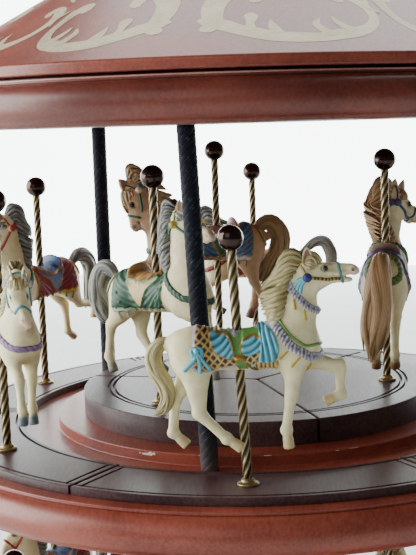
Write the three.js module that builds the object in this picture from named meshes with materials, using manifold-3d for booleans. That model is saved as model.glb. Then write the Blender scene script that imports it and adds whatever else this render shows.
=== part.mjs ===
// A tabletop model of a two-storey fairground carousel in turned wood.
// Painted cast horses on twisted brass poles stand on both decks.
// Millimetres, +Z up. The origin is the centre of the underside, and -Y is the front.

import * as THREE from "three";
import { mergeVertices } from "three/addons/utils/BufferGeometryUtils.js";
import Module from "manifold-3d";

const wasm = await Module();
wasm.setup();

// Driving sizes of the woodwork
const PLINTH_RADIUS = 110; // raised centre of each deck, which sets most other radii
const PLINTH_HEIGHT = 14;
const TIER_RADIUS = 1.148 * PLINTH_RADIUS;
const TIER_HEIGHT = 6.5;
const RING_INNER = 1.35 * PLINTH_RADIUS;
const RING_OUTER = 1.745 * PLINTH_RADIUS;
const RING_HEIGHT = 4.4;
const LIP_RADIUS = 1.82 * PLINTH_RADIUS; // flat lip outside the ring
const RIM_RADIUS = 1.9 * PLINTH_RADIUS; // widest point of the bullnose
const RIM_FOOT = 1.855 * PLINTH_RADIUS;
const BOARD_THICKNESS = 23;
const STOREY_HEIGHT = 183; // clear height between two boards
const SEAM = 1.6; // gap between two ring segments
const SEAM_DEPTH = 3;
const RING_SEGMENTS = 6;
const PLINTH_SECTORS = 3;
const PLINTH_SEAM_ANGLE = -72.5;

// Canopy
const ROOF_RADIUS = 1.84 * PLINTH_RADIUS;
const ROOF_LIP = 5.5;
const ROOF_RISE = 108;
const SHADOW_GAP = 1.8;
const SHADOW_RADIUS = 1.74 * PLINTH_RADIUS;
const CAP_RADIUS = 11; // flat top of the roof, under the finial

// Posts and poles
const POST_RADIUS = 4.9;
const POST_CIRCLE = 1.215 * PLINTH_RADIUS;
const POST_ANGLES = [-101.4, 142, 19.5];
const FRONT_POST_LEAN = -0.037; // the upper front post was fitted a little out of true
const POLE_RADIUS = 2.4;
const BALL_RADIUS = 6.2;
const FLANGE_RADIUS = 5.6;
const FLANGE_HEIGHT = 2.6;
const FIT = 0.35; // running gap round each pole
const FACET = 0.9; // how far a figure's faces may stand off its true surface

const ROUND = 48; // sides of a large turned piece
const POLE_SIDES = 8;

const BASE_TOP = BOARD_THICKNESS;
const UPPER_BOTTOM = BASE_TOP + STOREY_HEIGHT;
const UPPER_TOP = UPPER_BOTTOM + BOARD_THICKNESS;
const CANOPY_BOTTOM = UPPER_TOP + STOREY_HEIGHT;
const CANOPY_TOP = CANOPY_BOTTOM + BOARD_THICKNESS;

const rad = THREE.MathUtils.degToRad;

// Paints and woods
const finish = (color, roughness, metalness = 0) =>
  new THREE.MeshStandardMaterial({ color, roughness, metalness });
const CHERRY = finish(0x7d3a2b, 0.35);
const DARK_WOOD = finish(0x40292b, 0.4);
const BLACK_POST = finish(0x1b2230, 0.45);
const BRASS = finish(0xb08d4a, 0.3, 1);
const RESIN = finish(0xd8d2b4, 0.5);

// Solids
function solid(geometry) {
  const bare = geometry.index ? geometry.toNonIndexed() : geometry.clone();
  bare.deleteAttribute("normal");
  bare.deleteAttribute("uv");
  const merged = mergeVertices(bare, 1e-4);
  return new wasm.Manifold(
    new wasm.Mesh({
      numProp: 3,
      vertProperties: merged.attributes.position.array,
      triVerts: new Uint32Array(merged.index.array),
    }),
  );
}

function geometryOf(made) {
  const mesh = made.getMesh();
  const geometry = new THREE.BufferGeometry();
  geometry.setAttribute("position", new THREE.BufferAttribute(mesh.vertProperties, 3));
  geometry.setIndex(new THREE.BufferAttribute(mesh.triVerts, 1));
  geometry.computeVertexNormals();
  return geometry;
}

// A turned piece from a profile of [radius, height] points that starts and ends on the axis
function turned(profile, sides) {
  const points = profile.map(([r, z]) => new THREE.Vector2(r, z));
  return new THREE.LatheGeometry(points, sides).rotateX(Math.PI / 2);
}

function box(x, y, z, width, depth, height) {
  return new THREE.BoxGeometry(width, depth, height).translate(x, y, z);
}

// Boards, with the bullnose rim that all three share
function rimProfile() {
  const bulge = new THREE.QuadraticBezierCurve(
    new THREE.Vector2(RIM_FOOT, 0),
    new THREE.Vector2(2 * RIM_RADIUS - (RIM_FOOT + LIP_RADIUS) / 2, 0.3 * BOARD_THICKNESS),
    new THREE.Vector2(LIP_RADIUS, BOARD_THICKNESS),
  );
  return bulge.getPoints(5).map((p) => [p.x, p.y]);
}

function deckBoard() {
  return turned(
    [
      [0, 0],
      ...rimProfile(),
      [TIER_RADIUS, BOARD_THICKNESS],
      [TIER_RADIUS, BOARD_THICKNESS + TIER_HEIGHT],
      [0, BOARD_THICKNESS + TIER_HEIGHT],
    ],
    ROUND,
  );
}

function canopyBoard() {
  return turned(
    [
      [0, 0],
      ...rimProfile(),
      [SHADOW_RADIUS, BOARD_THICKNESS],
      [SHADOW_RADIUS, BOARD_THICKNESS + SHADOW_GAP],
      [0, BOARD_THICKNESS + SHADOW_GAP],
    ],
    ROUND,
  );
}

function roofCone() {
  return turned(
    [
      [0, 0],
      [ROOF_RADIUS, 0],
      [ROOF_RADIUS, ROOF_LIP],
      [CAP_RADIUS, ROOF_LIP + ROOF_RISE],
      [0, ROOF_LIP + ROOF_RISE],
    ],
    ROUND,
  );
}

function finial() {
  return turned(
    [
      [0, 0],
      [9, 0],
      [9, 3],
      [4, 5],
      [3.4, 8],
      [7.4, 12],
      [8.6, 17],
      [6.8, 22],
      [2.4, 26],
      [1.2, 31],
      [0, 32],
    ],
    16,
  );
}

// Ring segments and plinth sectors, which carry the horses
function ringSegment(index) {
  const middle = rad((index * 360) / RING_SEGMENTS + 180 / RING_SEGMENTS);
  const half = Math.PI / RING_SEGMENTS;
  const shape = new THREE.Shape();
  const trimOut = SEAM / 2 / RING_OUTER;
  const trimIn = SEAM / 2 / RING_INNER;
  shape.absarc(0, 0, RING_OUTER, middle - half + trimOut, middle + half - trimOut, false);
  shape.absarc(0, 0, RING_INNER, middle + half - trimIn, middle - half + trimIn, true);
  return extrudedPiece(shape, RING_HEIGHT, 9);
}

function plinthSector(index) {
  const from = rad(PLINTH_SEAM_ANGLE + (index * 360) / PLINTH_SECTORS);
  const to = from + (2 * Math.PI) / PLINTH_SECTORS;
  const gap = SEAM / 2;
  const apex = gap / Math.sin(Math.PI / PLINTH_SECTORS);
  const middle = (from + to) / 2;
  const trim = gap / PLINTH_RADIUS;
  const shape = new THREE.Shape();
  shape.moveTo(apex * Math.cos(middle), apex * Math.sin(middle));
  shape.absarc(0, 0, PLINTH_RADIUS, from + trim, to - trim, false);
  shape.closePath();
  return extrudedPiece(shape, PLINTH_HEIGHT, 18);
}

function extrudedPiece(shape, height, curveSegments) {
  return new THREE.ExtrudeGeometry(shape, { depth: height, curveSegments, bevelEnabled: false });
}

// The lower deck's ring and plinth, each cut by shallow seams from one turned blank
function seamedBlank(profile, count, firstAngle, height, depth, inner, outer) {
  let blank = solid(turned(profile, ROUND));
  for (let i = 0; i < count; i++) {
    const slot = box((inner + outer) / 2, 0, height, outer - inner, SEAM, 2 * depth);
    slot.rotateZ(rad(firstAngle + (i * 360) / count));
    blank = blank.subtract(solid(slot));
  }
  return geometryOf(blank);
}

function lowerRing() {
  const profile = [
    [RING_INNER, 0],
    [RING_OUTER, 0],
    [RING_OUTER, RING_HEIGHT],
    [RING_INNER, RING_HEIGHT],
    [RING_INNER, 0],
  ];
  return seamedBlank(profile, RING_SEGMENTS, 0, RING_HEIGHT, SEAM_DEPTH, RING_INNER - 5, RING_OUTER + 5);
}

function lowerPlinth() {
  const profile = [
    [0, 0],
    [PLINTH_RADIUS, 0],
    [PLINTH_RADIUS, PLINTH_HEIGHT],
    [0, PLINTH_HEIGHT],
  ];
  const angle = PLINTH_SEAM_ANGLE;
  return seamedBlank(profile, PLINTH_SECTORS, angle, PLINTH_HEIGHT, SEAM_DEPTH, 0, PLINTH_RADIUS + 5);
}

function post() {
  return new THREE.CylinderGeometry(POST_RADIUS, POST_RADIUS, STOREY_HEIGHT, 12)
    .rotateX(Math.PI / 2)
    .translate(0, 0, STOREY_HEIGHT / 2);
}

// Slides a shape along x as it rises, which keeps its ends level
function leaning(geometry, lean) {
  return geometry.applyMatrix4(new THREE.Matrix4().makeShear(0, 0, 0, 0, lean, 0));
}

// A brass pole with its foot flange and ball, standing on z = 0
function pole(ballHeight) {
  const profile = [
    [0, 0],
    [FLANGE_RADIUS, 0],
    [FLANGE_RADIUS, FLANGE_HEIGHT * 0.5],
    [POLE_RADIUS + 0.8, FLANGE_HEIGHT],
    [POLE_RADIUS, FLANGE_HEIGHT + 0.6],
  ];
  for (const turn of [155, 130, 100, 65, 30]) {
    profile.push([BALL_RADIUS * Math.sin(rad(turn)), ballHeight + BALL_RADIUS * Math.cos(rad(turn))]);
  }
  profile.push([0, ballHeight + BALL_RADIUS]);
  return turned(profile, POLE_SIDES);
}

// A loft through stations of [x, y, z, half width, half height], in the plane of travel.
// A unit cylinder's rings are laid on the stations one by one.
function loft(stations, sides) {
  const last = stations.length - 1;
  const tube = new THREE.CylinderGeometry(1, 1, 1, sides, last);
  const centres = stations.map(([x, y, z]) => new THREE.Vector3(x, y, z));
  const side = new THREE.Vector3(0, 1, 0);
  const ups = centres.map((_, i) => {
    const ahead = centres[Math.min(i + 1, last)];
    const behind = centres[Math.max(i - 1, 0)];
    return ahead.clone().sub(behind).setY(0).normalize().cross(side);
  });
  const position = tube.attributes.position;
  for (let i = 0; i < position.count; i++) {
    const at = Math.round((0.5 - position.getY(i)) * last);
    const point = centres[at]
      .clone()
      .addScaledVector(side, position.getX(i) * stations[at][3])
      .addScaledVector(ups[at], position.getZ(i) * stations[at][4]);
    position.setXYZ(i, point.x, point.y, point.z);
  }
  return solid(tube);
}

// The horse, facing +X, with its barrel's centre on the pole. Sizes before it is lifted.
const TRUNK = [
  [-35, 0, 2, 4, 5.5],
  [-24, 0, 1.5, 9, 11],
  [-4, 0, 0, 9, 10],
  [19, 0, 1, 9.4, 12],
  [36, 0, 4, 4.4, 6],
];
const NECK_ROOT = [25, 3];
const NECK_LENGTH = 34;
const HEAD = [
  [-3, -0.5, 3.6, 4.6],
  [6, -2, 4.4, 6.3],
  [16, -2, 3, 4.5],
  [26.5, -2.2, 2.4, 3.6],
];
const ELBOW = [27, 6.2, -6];
const STIFLE = [-22, 6, -7];
const FORE_BONES = [17.5, 15.5, 9.5];
const HIND_BONES = [17.5, 18, 9.5];
const FORE_SIZES = [6, 3.1, 2.4, 2.8, 3.1];
const HIND_SIZES = [8, 3.5, 2.5, 2.9, 3.2];

// Tails as [x, z, thickness] along the hair, from the dock
const TAILS = {
  flowing: [[-31, 5, 2.6], [-42, 3, 3.8], [-42, -8, 4], [-37, -17, 3.6], [-45, -30, 1.2]],
  arched: [[-31, 5, 2.6], [-41, 12, 4.4], [-50, 3, 5.2], [-47, -12, 4.4], [-43, -24, 1.4]],
  curled: [[-31, 5, 2.6], [-41, 12, 4.4], [-51, 3, 5], [-45, -9, 4.6], [-36, -16, 1.6]],
  hanging: [[-31, 5, 2.6], [-39, 4, 5], [-42, -10, 6], [-43, -26, 5.4], [-40, -40, 2]],
};

// Ways of standing. Leg angles are in degrees from straight down, forward positive,
// for the upper leg, the cannon and the hoof. The outer side is the horse's right.
const POSES = {
  stride: {
    size: 1, lift: 69, pitch: 0, neck: 75, head: -2, tail: "flowing",
    foreOut: [-8, -13, 2], foreIn: [76, -2, -50], hindOut: [-6, 38, 50], hindIn: [-34, -10, 32],
  },
  trot: {
    size: 1, lift: 66, pitch: 4, neck: 78, head: -40, tail: "curled",
    foreOut: [66, -20, -60], foreIn: [20, 10, 0], hindOut: [-48, -14, 20], hindIn: [0, 38, 50],
  },
  rear: {
    size: 1, lift: 68, pitch: 13, neck: 72, head: -40, tail: "hanging",
    foreOut: [60, -25, -60], foreIn: [42, -20, -40], hindOut: [-24, 10, 30], hindIn: [2, 8, 24],
  },
  leap: {
    size: 1, lift: 72, pitch: -3, neck: 70, head: -45, tail: "arched",
    foreOut: [72, -35, -75], foreIn: [50, -45, -85], hindOut: [-58, -30, -62], hindIn: [-36, -50, -30],
  },
  prance: {
    size: 1, lift: 67, pitch: 3, neck: 78, head: -70, tail: "arched",
    foreOut: [62, -28, -60], foreIn: [-2, -4, 6], hindOut: [-30, 2, 22], hindIn: [14, -24, -8],
  },
  bow: {
    size: 1.18, lift: 84, pitch: 6, neck: 62, head: -80, tail: "curled",
    foreOut: [58, -50, -85], foreIn: [28, -40, -70], hindOut: [-34, 4, 20], hindIn: [-16, -30, -45],
  },
  gallop: {
    size: 1, lift: 70, pitch: 2, neck: 62, head: -25, tail: "arched",
    foreOut: [60, 10, 8], foreIn: [40, -32, -60], hindOut: [-56, -24, -60], hindIn: [-40, -12, -12],
  },
};

function legStations(root, bones, sizes, angles, sideSign) {
  let [x, , z] = root;
  const y = sideSign * root[1];
  const stations = [[x, y * 0.8, z + 4, sizes[0] * 0.7, sizes[0]]];
  const widths = [sizes[1], sizes[2], sizes[3]];
  bones.forEach((length, i) => {
    const turn = rad(angles[i]);
    x += length * Math.sin(turn);
    z -= length * Math.cos(turn);
    stations.push([x, y, z, widths[i] * 0.85, widths[i]]);
  });
  stations[3][3] = sizes[4] * 0.85;
  stations[3][4] = sizes[4];
  return stations;
}

function bodyLofts(pose) {
  const neckTurn = rad(pose.neck);
  const poll = [
    NECK_ROOT[0] + NECK_LENGTH * Math.cos(neckTurn),
    NECK_ROOT[1] + NECK_LENGTH * Math.sin(neckTurn),
  ];
  const along = (share, arch) => [
    NECK_ROOT[0] + (poll[0] - NECK_ROOT[0]) * share - arch * Math.sin(neckTurn),
    NECK_ROOT[1] + (poll[1] - NECK_ROOT[1]) * share + arch * Math.cos(neckTurn),
  ];
  const neckStation = (share, arch, width, height) => {
    const [x, z] = along(share, arch);
    return [x, 0, z, width, height];
  };
  const neck = [
    neckStation(-0.12, 0, 8, 13),
    neckStation(0.45, 2.4, 5.4, 11),
    neckStation(1, 1.4, 4, 7.6),
  ];
  const headTurn = rad(pose.head);
  const headPoint = (s, drop) => [
    poll[0] + s * Math.cos(headTurn) - drop * Math.sin(headTurn),
    poll[1] + s * Math.sin(headTurn) + drop * Math.cos(headTurn),
  ];
  const head = HEAD.map(([s, drop, width, height]) => {
    const [x, z] = headPoint(s, drop);
    return [x, 0, z, width, height];
  });
  const ears = [-1, 1].map((sign) => {
    const [x, z] = headPoint(0, 2);
    const [tx, tz] = headPoint(1.5, 10.5);
    return [
      [x, sign * 1.8, z, 1.7, 1.9],
      [tx, sign * 2.8, tz, 0.5, 0.6],
    ];
  });
  const tail = TAILS[pose.tail].map(([x, z, size]) => [x, 0, z, size * 0.8, size]);
  const seat = [
    [-14, 0, 12.4, 4.6, 2.4],
    [-3, 0, 9.4, 6.4, 2.4],
    [9, 0, 11, 3.6, 2.4],
  ];
  return { trunk: TRUNK, neck, head, ears, tail, seat };
}

function horse(pose) {
  const made = bodyLofts(pose);
  const fore = (angles, sign) => legStations(ELBOW, FORE_BONES, FORE_SIZES, angles, sign);
  const hind = (angles, sign) => legStations(STIFLE, HIND_BONES, HIND_SIZES, angles, sign);
  const limbs = [
    fore(pose.foreOut, -1),
    fore(pose.foreIn, 1),
    hind(pose.hindOut, -1),
    hind(pose.hindIn, 1),
  ];
  const whole = wasm.Manifold.union([
    loft(made.trunk, 8),
    loft(made.neck, 6),
    loft(made.head, 6),
    loft(made.tail, 5),
    loft(made.seat, 5),
    ...limbs.map((stations) => loft(stations, 5)),
    ...made.ears.map((stations) => loft(stations, 3)),
  ]).simplify(FACET);
  const size = pose.size;
  const sized = geometryOf(whole).scale(size, size, size);
  return solid(sized.rotateY(rad(-pose.pitch)).translate(0, 0, pose.lift));
}

// Turns a figure about its pole's foot, to follow a leaning pole
function tilted(figure, lean) {
  return lean ? solid(geometryOf(figure).rotateY(lean)) : figure;
}

function bored(figure, lean) {
  const bore = new THREE.CylinderGeometry(POLE_RADIUS + FIT, POLE_RADIUS + FIT, 300, POLE_SIDES);
  return figure.subtract(solid(leaning(bore.rotateX(Math.PI / 2), lean)));
}

// Where each horse stands: pose, place on the deck, the pole's ball above its foot
const OUTER_CIRCLE = (RING_INNER + RING_OUTER) / 2;
const INNER_CIRCLE = 0.75 * PLINTH_RADIUS;
const STANDS = [
  { row: "outer", angle: -92, pose: "stride", ball: 123.5, lean: -0.043 },
  { row: "outer", angle: -31, pose: "gallop", ball: 140 },
  { row: "outer", angle: 29, pose: "trot", ball: 140 },
  { row: "outer", angle: 90, pose: "gallop", ball: 142 },
  { row: "outer", angle: 152, pose: "leap", ball: 139 },
  { row: "outer", angle: -146.5, pose: "prance", ball: 140 },
  { row: "inner", angle: -8.5, pose: "rear", ball: 138 },
  { row: "inner", angle: 108, pose: "bow", ball: 144.5 },
  { row: "inner", angle: -134, pose: "trot", ball: 133.5 },
];

const carousel = new THREE.Group();

function add(parent, name, geometry, material, z = 0) {
  const mesh = new THREE.Mesh(geometry, material);
  mesh.name = name;
  mesh.position.z = z;
  parent.add(mesh);
  return mesh;
}

function addDeck(name, z) {
  add(carousel, `${name}_deck_board`, deckBoard(), CHERRY, z);
}

function addPosts(name, z, frontLean) {
  POST_ANGLES.forEach((angle, i) => {
    const made = add(carousel, `${name}_post_${i + 1}`, leaning(post(), i ? 0 : frontLean), BLACK_POST, z);
    made.position.x = POST_CIRCLE * Math.cos(rad(angle));
    made.position.y = POST_CIRCLE * Math.sin(rad(angle));
  });
}

function addFigures(storey, deckTop, joined) {
  let count = { outer: 0, inner: 0 };
  for (const stand of STANDS) {
    const number = ++count[stand.row];
    const outer = stand.row === "outer";
    const circle = outer ? OUTER_CIRCLE : INNER_CIRCLE;
    const foot = outer ? RING_HEIGHT : TIER_HEIGHT + PLINTH_HEIGHT;
    const spot = new THREE.Group();
    const turn = rad(stand.angle);
    spot.position.set(circle * Math.cos(turn), circle * Math.sin(turn), deckTop + foot);
    spot.rotation.z = turn + Math.PI / 2;
    carousel.add(spot);
    const lean = stand.lean ?? 0;
    const figure = tilted(horse(POSES[stand.pose]), lean);
    const name = `${storey}_${stand.row}`;
    const shaft = leaning(pole(stand.ball), lean);
    if (joined) {
      const whole = figure.add(solid(shaft));
      add(spot, `${name}_horse_on_pole_${number}`, geometryOf(whole), RESIN);
    } else {
      add(spot, `${name}_horse_${number}`, geometryOf(bored(figure, lean)), RESIN);
      add(spot, `${name}_pole_${number}`, shaft, BRASS);
    }
  }
}

addDeck("lower", 0);
add(carousel, "lower_ring", lowerRing(), DARK_WOOD, BASE_TOP);
add(carousel, "lower_plinth", lowerPlinth(), DARK_WOOD, BASE_TOP + TIER_HEIGHT);
addPosts("lower", BASE_TOP, 0);
addFigures("lower", BASE_TOP, true);

addDeck("upper", UPPER_BOTTOM);
for (let i = 0; i < RING_SEGMENTS; i++) {
  add(carousel, `upper_ring_segment_${i + 1}`, ringSegment(i), DARK_WOOD, UPPER_TOP);
}
for (let i = 0; i < PLINTH_SECTORS; i++) {
  add(carousel, `upper_plinth_sector_${i + 1}`, plinthSector(i), DARK_WOOD, UPPER_TOP + TIER_HEIGHT);
}
addPosts("upper", UPPER_TOP, FRONT_POST_LEAN);
addFigures("upper", UPPER_TOP, false);

add(carousel, "canopy_board", canopyBoard(), CHERRY, CANOPY_BOTTOM);
add(carousel, "roof", roofCone(), CHERRY, CANOPY_TOP + SHADOW_GAP);
add(carousel, "finial", finial(), CHERRY, CANOPY_TOP + SHADOW_GAP + ROOF_LIP + ROOF_RISE);

export default carousel;
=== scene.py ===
"""Visual model of a tabletop two-storey carousel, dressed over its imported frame.

Sizes are in millimetres until a mesh is written, and colours are sRGB hex until a paint is mixed.
"""

import logging
import math
from dataclasses import dataclass
from enum import Enum
from typing import Callable, Optional, Sequence

import bpy
import numpy as np
from mathutils import Matrix, Vector

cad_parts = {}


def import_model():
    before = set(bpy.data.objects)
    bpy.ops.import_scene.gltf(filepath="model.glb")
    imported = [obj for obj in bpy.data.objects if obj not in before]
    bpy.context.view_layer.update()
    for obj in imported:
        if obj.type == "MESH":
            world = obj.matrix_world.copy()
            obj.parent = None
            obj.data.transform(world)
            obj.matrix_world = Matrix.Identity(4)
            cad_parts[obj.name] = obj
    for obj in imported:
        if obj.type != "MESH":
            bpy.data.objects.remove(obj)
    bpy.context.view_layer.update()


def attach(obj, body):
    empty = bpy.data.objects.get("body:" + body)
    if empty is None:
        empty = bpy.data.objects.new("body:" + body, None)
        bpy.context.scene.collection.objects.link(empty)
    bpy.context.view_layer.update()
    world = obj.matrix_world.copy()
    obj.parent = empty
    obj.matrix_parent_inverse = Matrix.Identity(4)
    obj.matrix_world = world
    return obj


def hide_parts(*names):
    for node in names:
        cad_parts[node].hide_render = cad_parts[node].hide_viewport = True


LOG = logging.getLogger("carousel")
MM = 0.001
Array = np.ndarray
Paint = tuple[float, float, float, float]
Pair = tuple[float, float]
Triple = tuple[float, float, float]


class Storey(Enum):
    """The two decks that carry horses."""

    LOWER = "lower"
    UPPER = "upper"


class Row(Enum):
    """The two circles of horses on a deck."""

    OUTER = "outer"
    INNER = "inner"


def paint(hex_colour: str, metal: float = 0.0) -> Paint:
    """Turn an sRGB hex colour into a linear paint.

    Args:
        hex_colour: Six hex digits.
        metal: 1 for gilding, 0 for enamel.

    Returns:
        Red, green and blue in linear light, and the gilding.
    """
    raw = [int(hex_colour[i:i + 2], 16) / 255 for i in (0, 2, 4)]
    lin = [c / 12.92 if c <= 0.04045 else ((c + 0.055) / 1.055) ** 2.4 for c in raw]
    return (lin[0], lin[1], lin[2], metal)


def blend_paint(first: "Array | Paint", second: "Array | Paint", share: Array) -> Array:
    """Mix two paints, or two sets of them, vertex by vertex."""
    share = np.clip(share, 0, 1)[..., None]
    return np.asarray(first) * (1 - share) + np.asarray(second) * share


def coated(colour: Paint, count: int) -> Array:
    """Give one paint to a number of vertices."""
    return np.tile(np.array(colour), (count, 1))


@dataclass(frozen=True)
class Plan:
    """The sizes that the woodwork and the figures share, as the frame has them."""

    plinth_radius: float = 110.0
    plinth_height: float = 14.0
    tier_radius: float = 126.28
    tier_height: float = 6.5
    ring_inner: float = 148.5
    ring_outer: float = 191.95
    ring_height: float = 4.4
    lip_radius: float = 200.2
    rim_radius: float = 209.0
    rim_foot: float = 204.05
    board: float = 23.0
    storey: float = 183.0
    seam: float = 1.6
    post_circle: float = 133.65
    post_radius: float = 4.9
    post_angles: Triple = (-101.4, 142.0, 19.5)
    outer_circle: float = 170.2
    inner_circle: float = 82.5
    front_post_lean: float = -0.037
    plinth_seam: float = -72.5
    pole_radius: float = 2.4
    ball_radius: float = 6.2
    roof_radius: float = 202.4
    roof_lip: float = 5.5
    roof_rise: float = 108.0
    shadow_gap: float = 1.8
    shadow_radius: float = 191.4
    cap_radius: float = 11.0

    def board_top(self, storey: Storey) -> float:
        """Give the height of a deck board's flat top."""
        return self.board if storey is Storey.LOWER else 2 * self.board + self.storey

    @property
    def canopy_bottom(self) -> float:
        """Give the height of the canopy board's underside."""
        return 2 * (self.board + self.storey)

    @property
    def roof_bottom(self) -> float:
        """Give the height of the roof's lip."""
        return self.canopy_bottom + self.board + self.shadow_gap


PLAN = Plan()


# Meshes


@dataclass
class Surface:
    """A closed mesh in millimetres with paint and a pattern coordinate at each vertex."""

    points: Array
    faces: list[Array]
    colours: Optional[Array] = None
    grain: Optional[Array] = None

    def moved(self, matrix: Matrix) -> "Surface":
        """Return a copy that a matrix has moved."""
        turn = np.array(matrix.to_3x3())
        shift = np.array(matrix.translation)
        return Surface(self.points @ turn.T + shift, self.faces, self.colours, self.grain)


def joined(parts: Sequence[Surface]) -> Surface:
    """Put several surfaces into one mesh without welding them."""
    points, colours, grain, faces = [], [], [], []
    start = 0
    for part in parts:
        count = len(part.points)
        points.append(part.points)
        colours.append(part.colours if part.colours is not None else np.ones((count, 4)))
        grain.append(part.grain if part.grain is not None else np.zeros((count, 2)))
        faces += [block + start for block in part.faces]
        start += count
    return Surface(np.vstack(points), faces, np.vstack(colours), np.vstack(grain))


def grid_faces(rows: int, columns: int, close_rows: bool, close_columns: bool) -> Array:
    """Make the quads of a grid whose vertices run row by row.

    Args:
        rows: Number of rows.
        columns: Number of vertices in each row.
        close_rows: Whether the last row joins the first.
        close_columns: Whether each row closes on itself.

    Returns:
        One quad to a line, as vertex numbers.
    """
    i = np.arange(rows if close_rows else rows - 1)
    j = np.arange(columns if close_columns else columns - 1)
    i, j = np.meshgrid(i, j, indexing="ij")
    down = (i + 1) % rows
    across = (j + 1) % columns
    corners = (i * columns + j, i * columns + across, down * columns + across, down * columns + j)
    return np.stack(corners, -1).reshape(-1, 4)


def fan(centre: int, ring: Array, flip: bool) -> Array:
    """Close a ring of vertices with triangles round a centre vertex."""
    after = np.roll(ring, -1)
    mid = np.full_like(ring, centre)
    return np.stack([mid, after, ring] if flip else [mid, ring, after], -1)


def tube_faces(rows: int, sides: int) -> list[Array]:
    """Make the faces of a tube whose two end points come after its rings."""
    total = rows * sides
    first = np.arange(sides)
    ends = [fan(total, first, True), fan(total + 1, first + total - sides, False)]
    return [grid_faces(rows, sides, False, True), *ends]


def linked(name: str, data: bpy.types.ID) -> bpy.types.Object:
    """Make an object for a mesh, a lamp or a lens and link it into the scene."""
    made = bpy.data.objects.new(name, data)
    bpy.context.scene.collection.objects.link(made)
    return made


def write_mesh(name: str, surface: Surface, smooth_angle: Optional[float] = None) -> bpy.types.Object:
    """Write a surface as a Blender object at the origin, in metres.

    Args:
        name: The piece's name.
        surface: Its mesh in millimetres.
        smooth_angle: Degrees past which an edge stays sharp, or None to smooth all.

    Returns:
        The new object, linked into the scene.
    """
    mesh = bpy.data.meshes.new(name)
    sizes = np.concatenate([np.full(len(block), block.shape[1]) for block in surface.faces])
    loops = np.concatenate([block.ravel() for block in surface.faces])
    mesh.vertices.add(len(surface.points))
    mesh.vertices.foreach_set("co", (surface.points * MM).astype(np.float32).ravel())
    mesh.loops.add(len(loops))
    mesh.loops.foreach_set("vertex_index", loops.astype(np.int32))
    mesh.polygons.add(len(sizes))
    starts = np.concatenate([[0], np.cumsum(sizes)[:-1]])
    mesh.polygons.foreach_set("loop_start", starts.astype(np.int32))
    mesh.update(calc_edges=True)
    mesh.shade_smooth()
    if surface.colours is not None:
        layer = mesh.color_attributes.new("Paint", "FLOAT_COLOR", "POINT")
        layer.data.foreach_set("color", surface.colours.astype(np.float32).ravel())
    if surface.grain is not None:
        chart = mesh.uv_layers.new(name="Grain")
        chart.data.foreach_set("uv", surface.grain[loops].astype(np.float32).ravel())
    if smooth_angle is not None:
        mesh.set_sharp_from_angle(angle=math.radians(smooth_angle))
    return linked(name, mesh)


def settle(piece: bpy.types.Object, material: bpy.types.Material,
           nodes: Sequence[str] = ()) -> None:
    """Give a piece its material and body, and hide the frame's nodes that it stands for."""
    piece.data.materials.clear()
    piece.data.materials.append(material)
    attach(piece, "root")
    if nodes:
        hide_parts(*nodes)


def rounded(profile: Sequence[Pair], radius: float, steps: int = 4) -> list[Pair]:
    """Round the corners of a turned profile, apart from its ends.

    Args:
        profile: Radius and height of each corner.
        radius: Radius of the rounding, cut down where an edge is short.
        steps: Edges in each rounded corner.

    Returns:
        The rounded profile, with a holding point beside each corner.
    """
    out = [profile[0]]
    for before, corner, after in zip(profile, profile[1:], profile[2:]):
        a, c, b = (np.array(p, float) for p in (before, corner, after))
        into, away = a - c, b - c
        reach = min(radius, 0.4 * np.linalg.norm(into), 0.4 * np.linalg.norm(away))
        into, away = into / np.linalg.norm(into), away / np.linalg.norm(away)
        if abs(float(into @ away)) > 0.97:
            out.append(corner)
            continue
        start, end = c + into * reach, c + away * reach
        out.append(tuple(start + into * reach * 0.15))
        for k in range(steps + 1):
            t = k / steps
            out.append(tuple((1 - t) ** 2 * start + 2 * t * (1 - t) * c + t * t * end))
        out.append(tuple(end + away * reach * 0.15))
    out.append(profile[-1])
    return out


def turned(profile: Sequence[Pair], sides: int) -> Surface:
    """Turn a profile round the upright axis.

    Args:
        profile: Radius and height of each point, bottom first, with the two ends on the axis.
        sides: Number of sides.

    Returns:
        A closed surface.
    """
    ring = np.array(profile[1:-1])
    angles = np.linspace(0, 2 * np.pi, sides, endpoint=False)
    height = np.repeat(ring[:, 1:], sides, axis=1)
    body = np.stack([ring[:, :1] * np.cos(angles), ring[:, :1] * np.sin(angles), height], -1).reshape(-1, 3)
    ends = np.array([[0, 0, profile[0][1]], [0, 0, profile[-1][1]]])
    return Surface(np.vstack([body, ends]), tube_faces(len(ring), sides))


def globe(radius: float, middle: float, steps: int, sides: int) -> Surface:
    """Turn a ball that stands on the axis."""
    turns = [math.pi * k / steps for k in range(1, steps)]
    arc = [(radius * math.sin(a), middle - radius * math.cos(a)) for a in turns]
    return turned([(0.0, middle - radius), *arc, (0.0, middle + radius)], sides)


# Shaders


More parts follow.
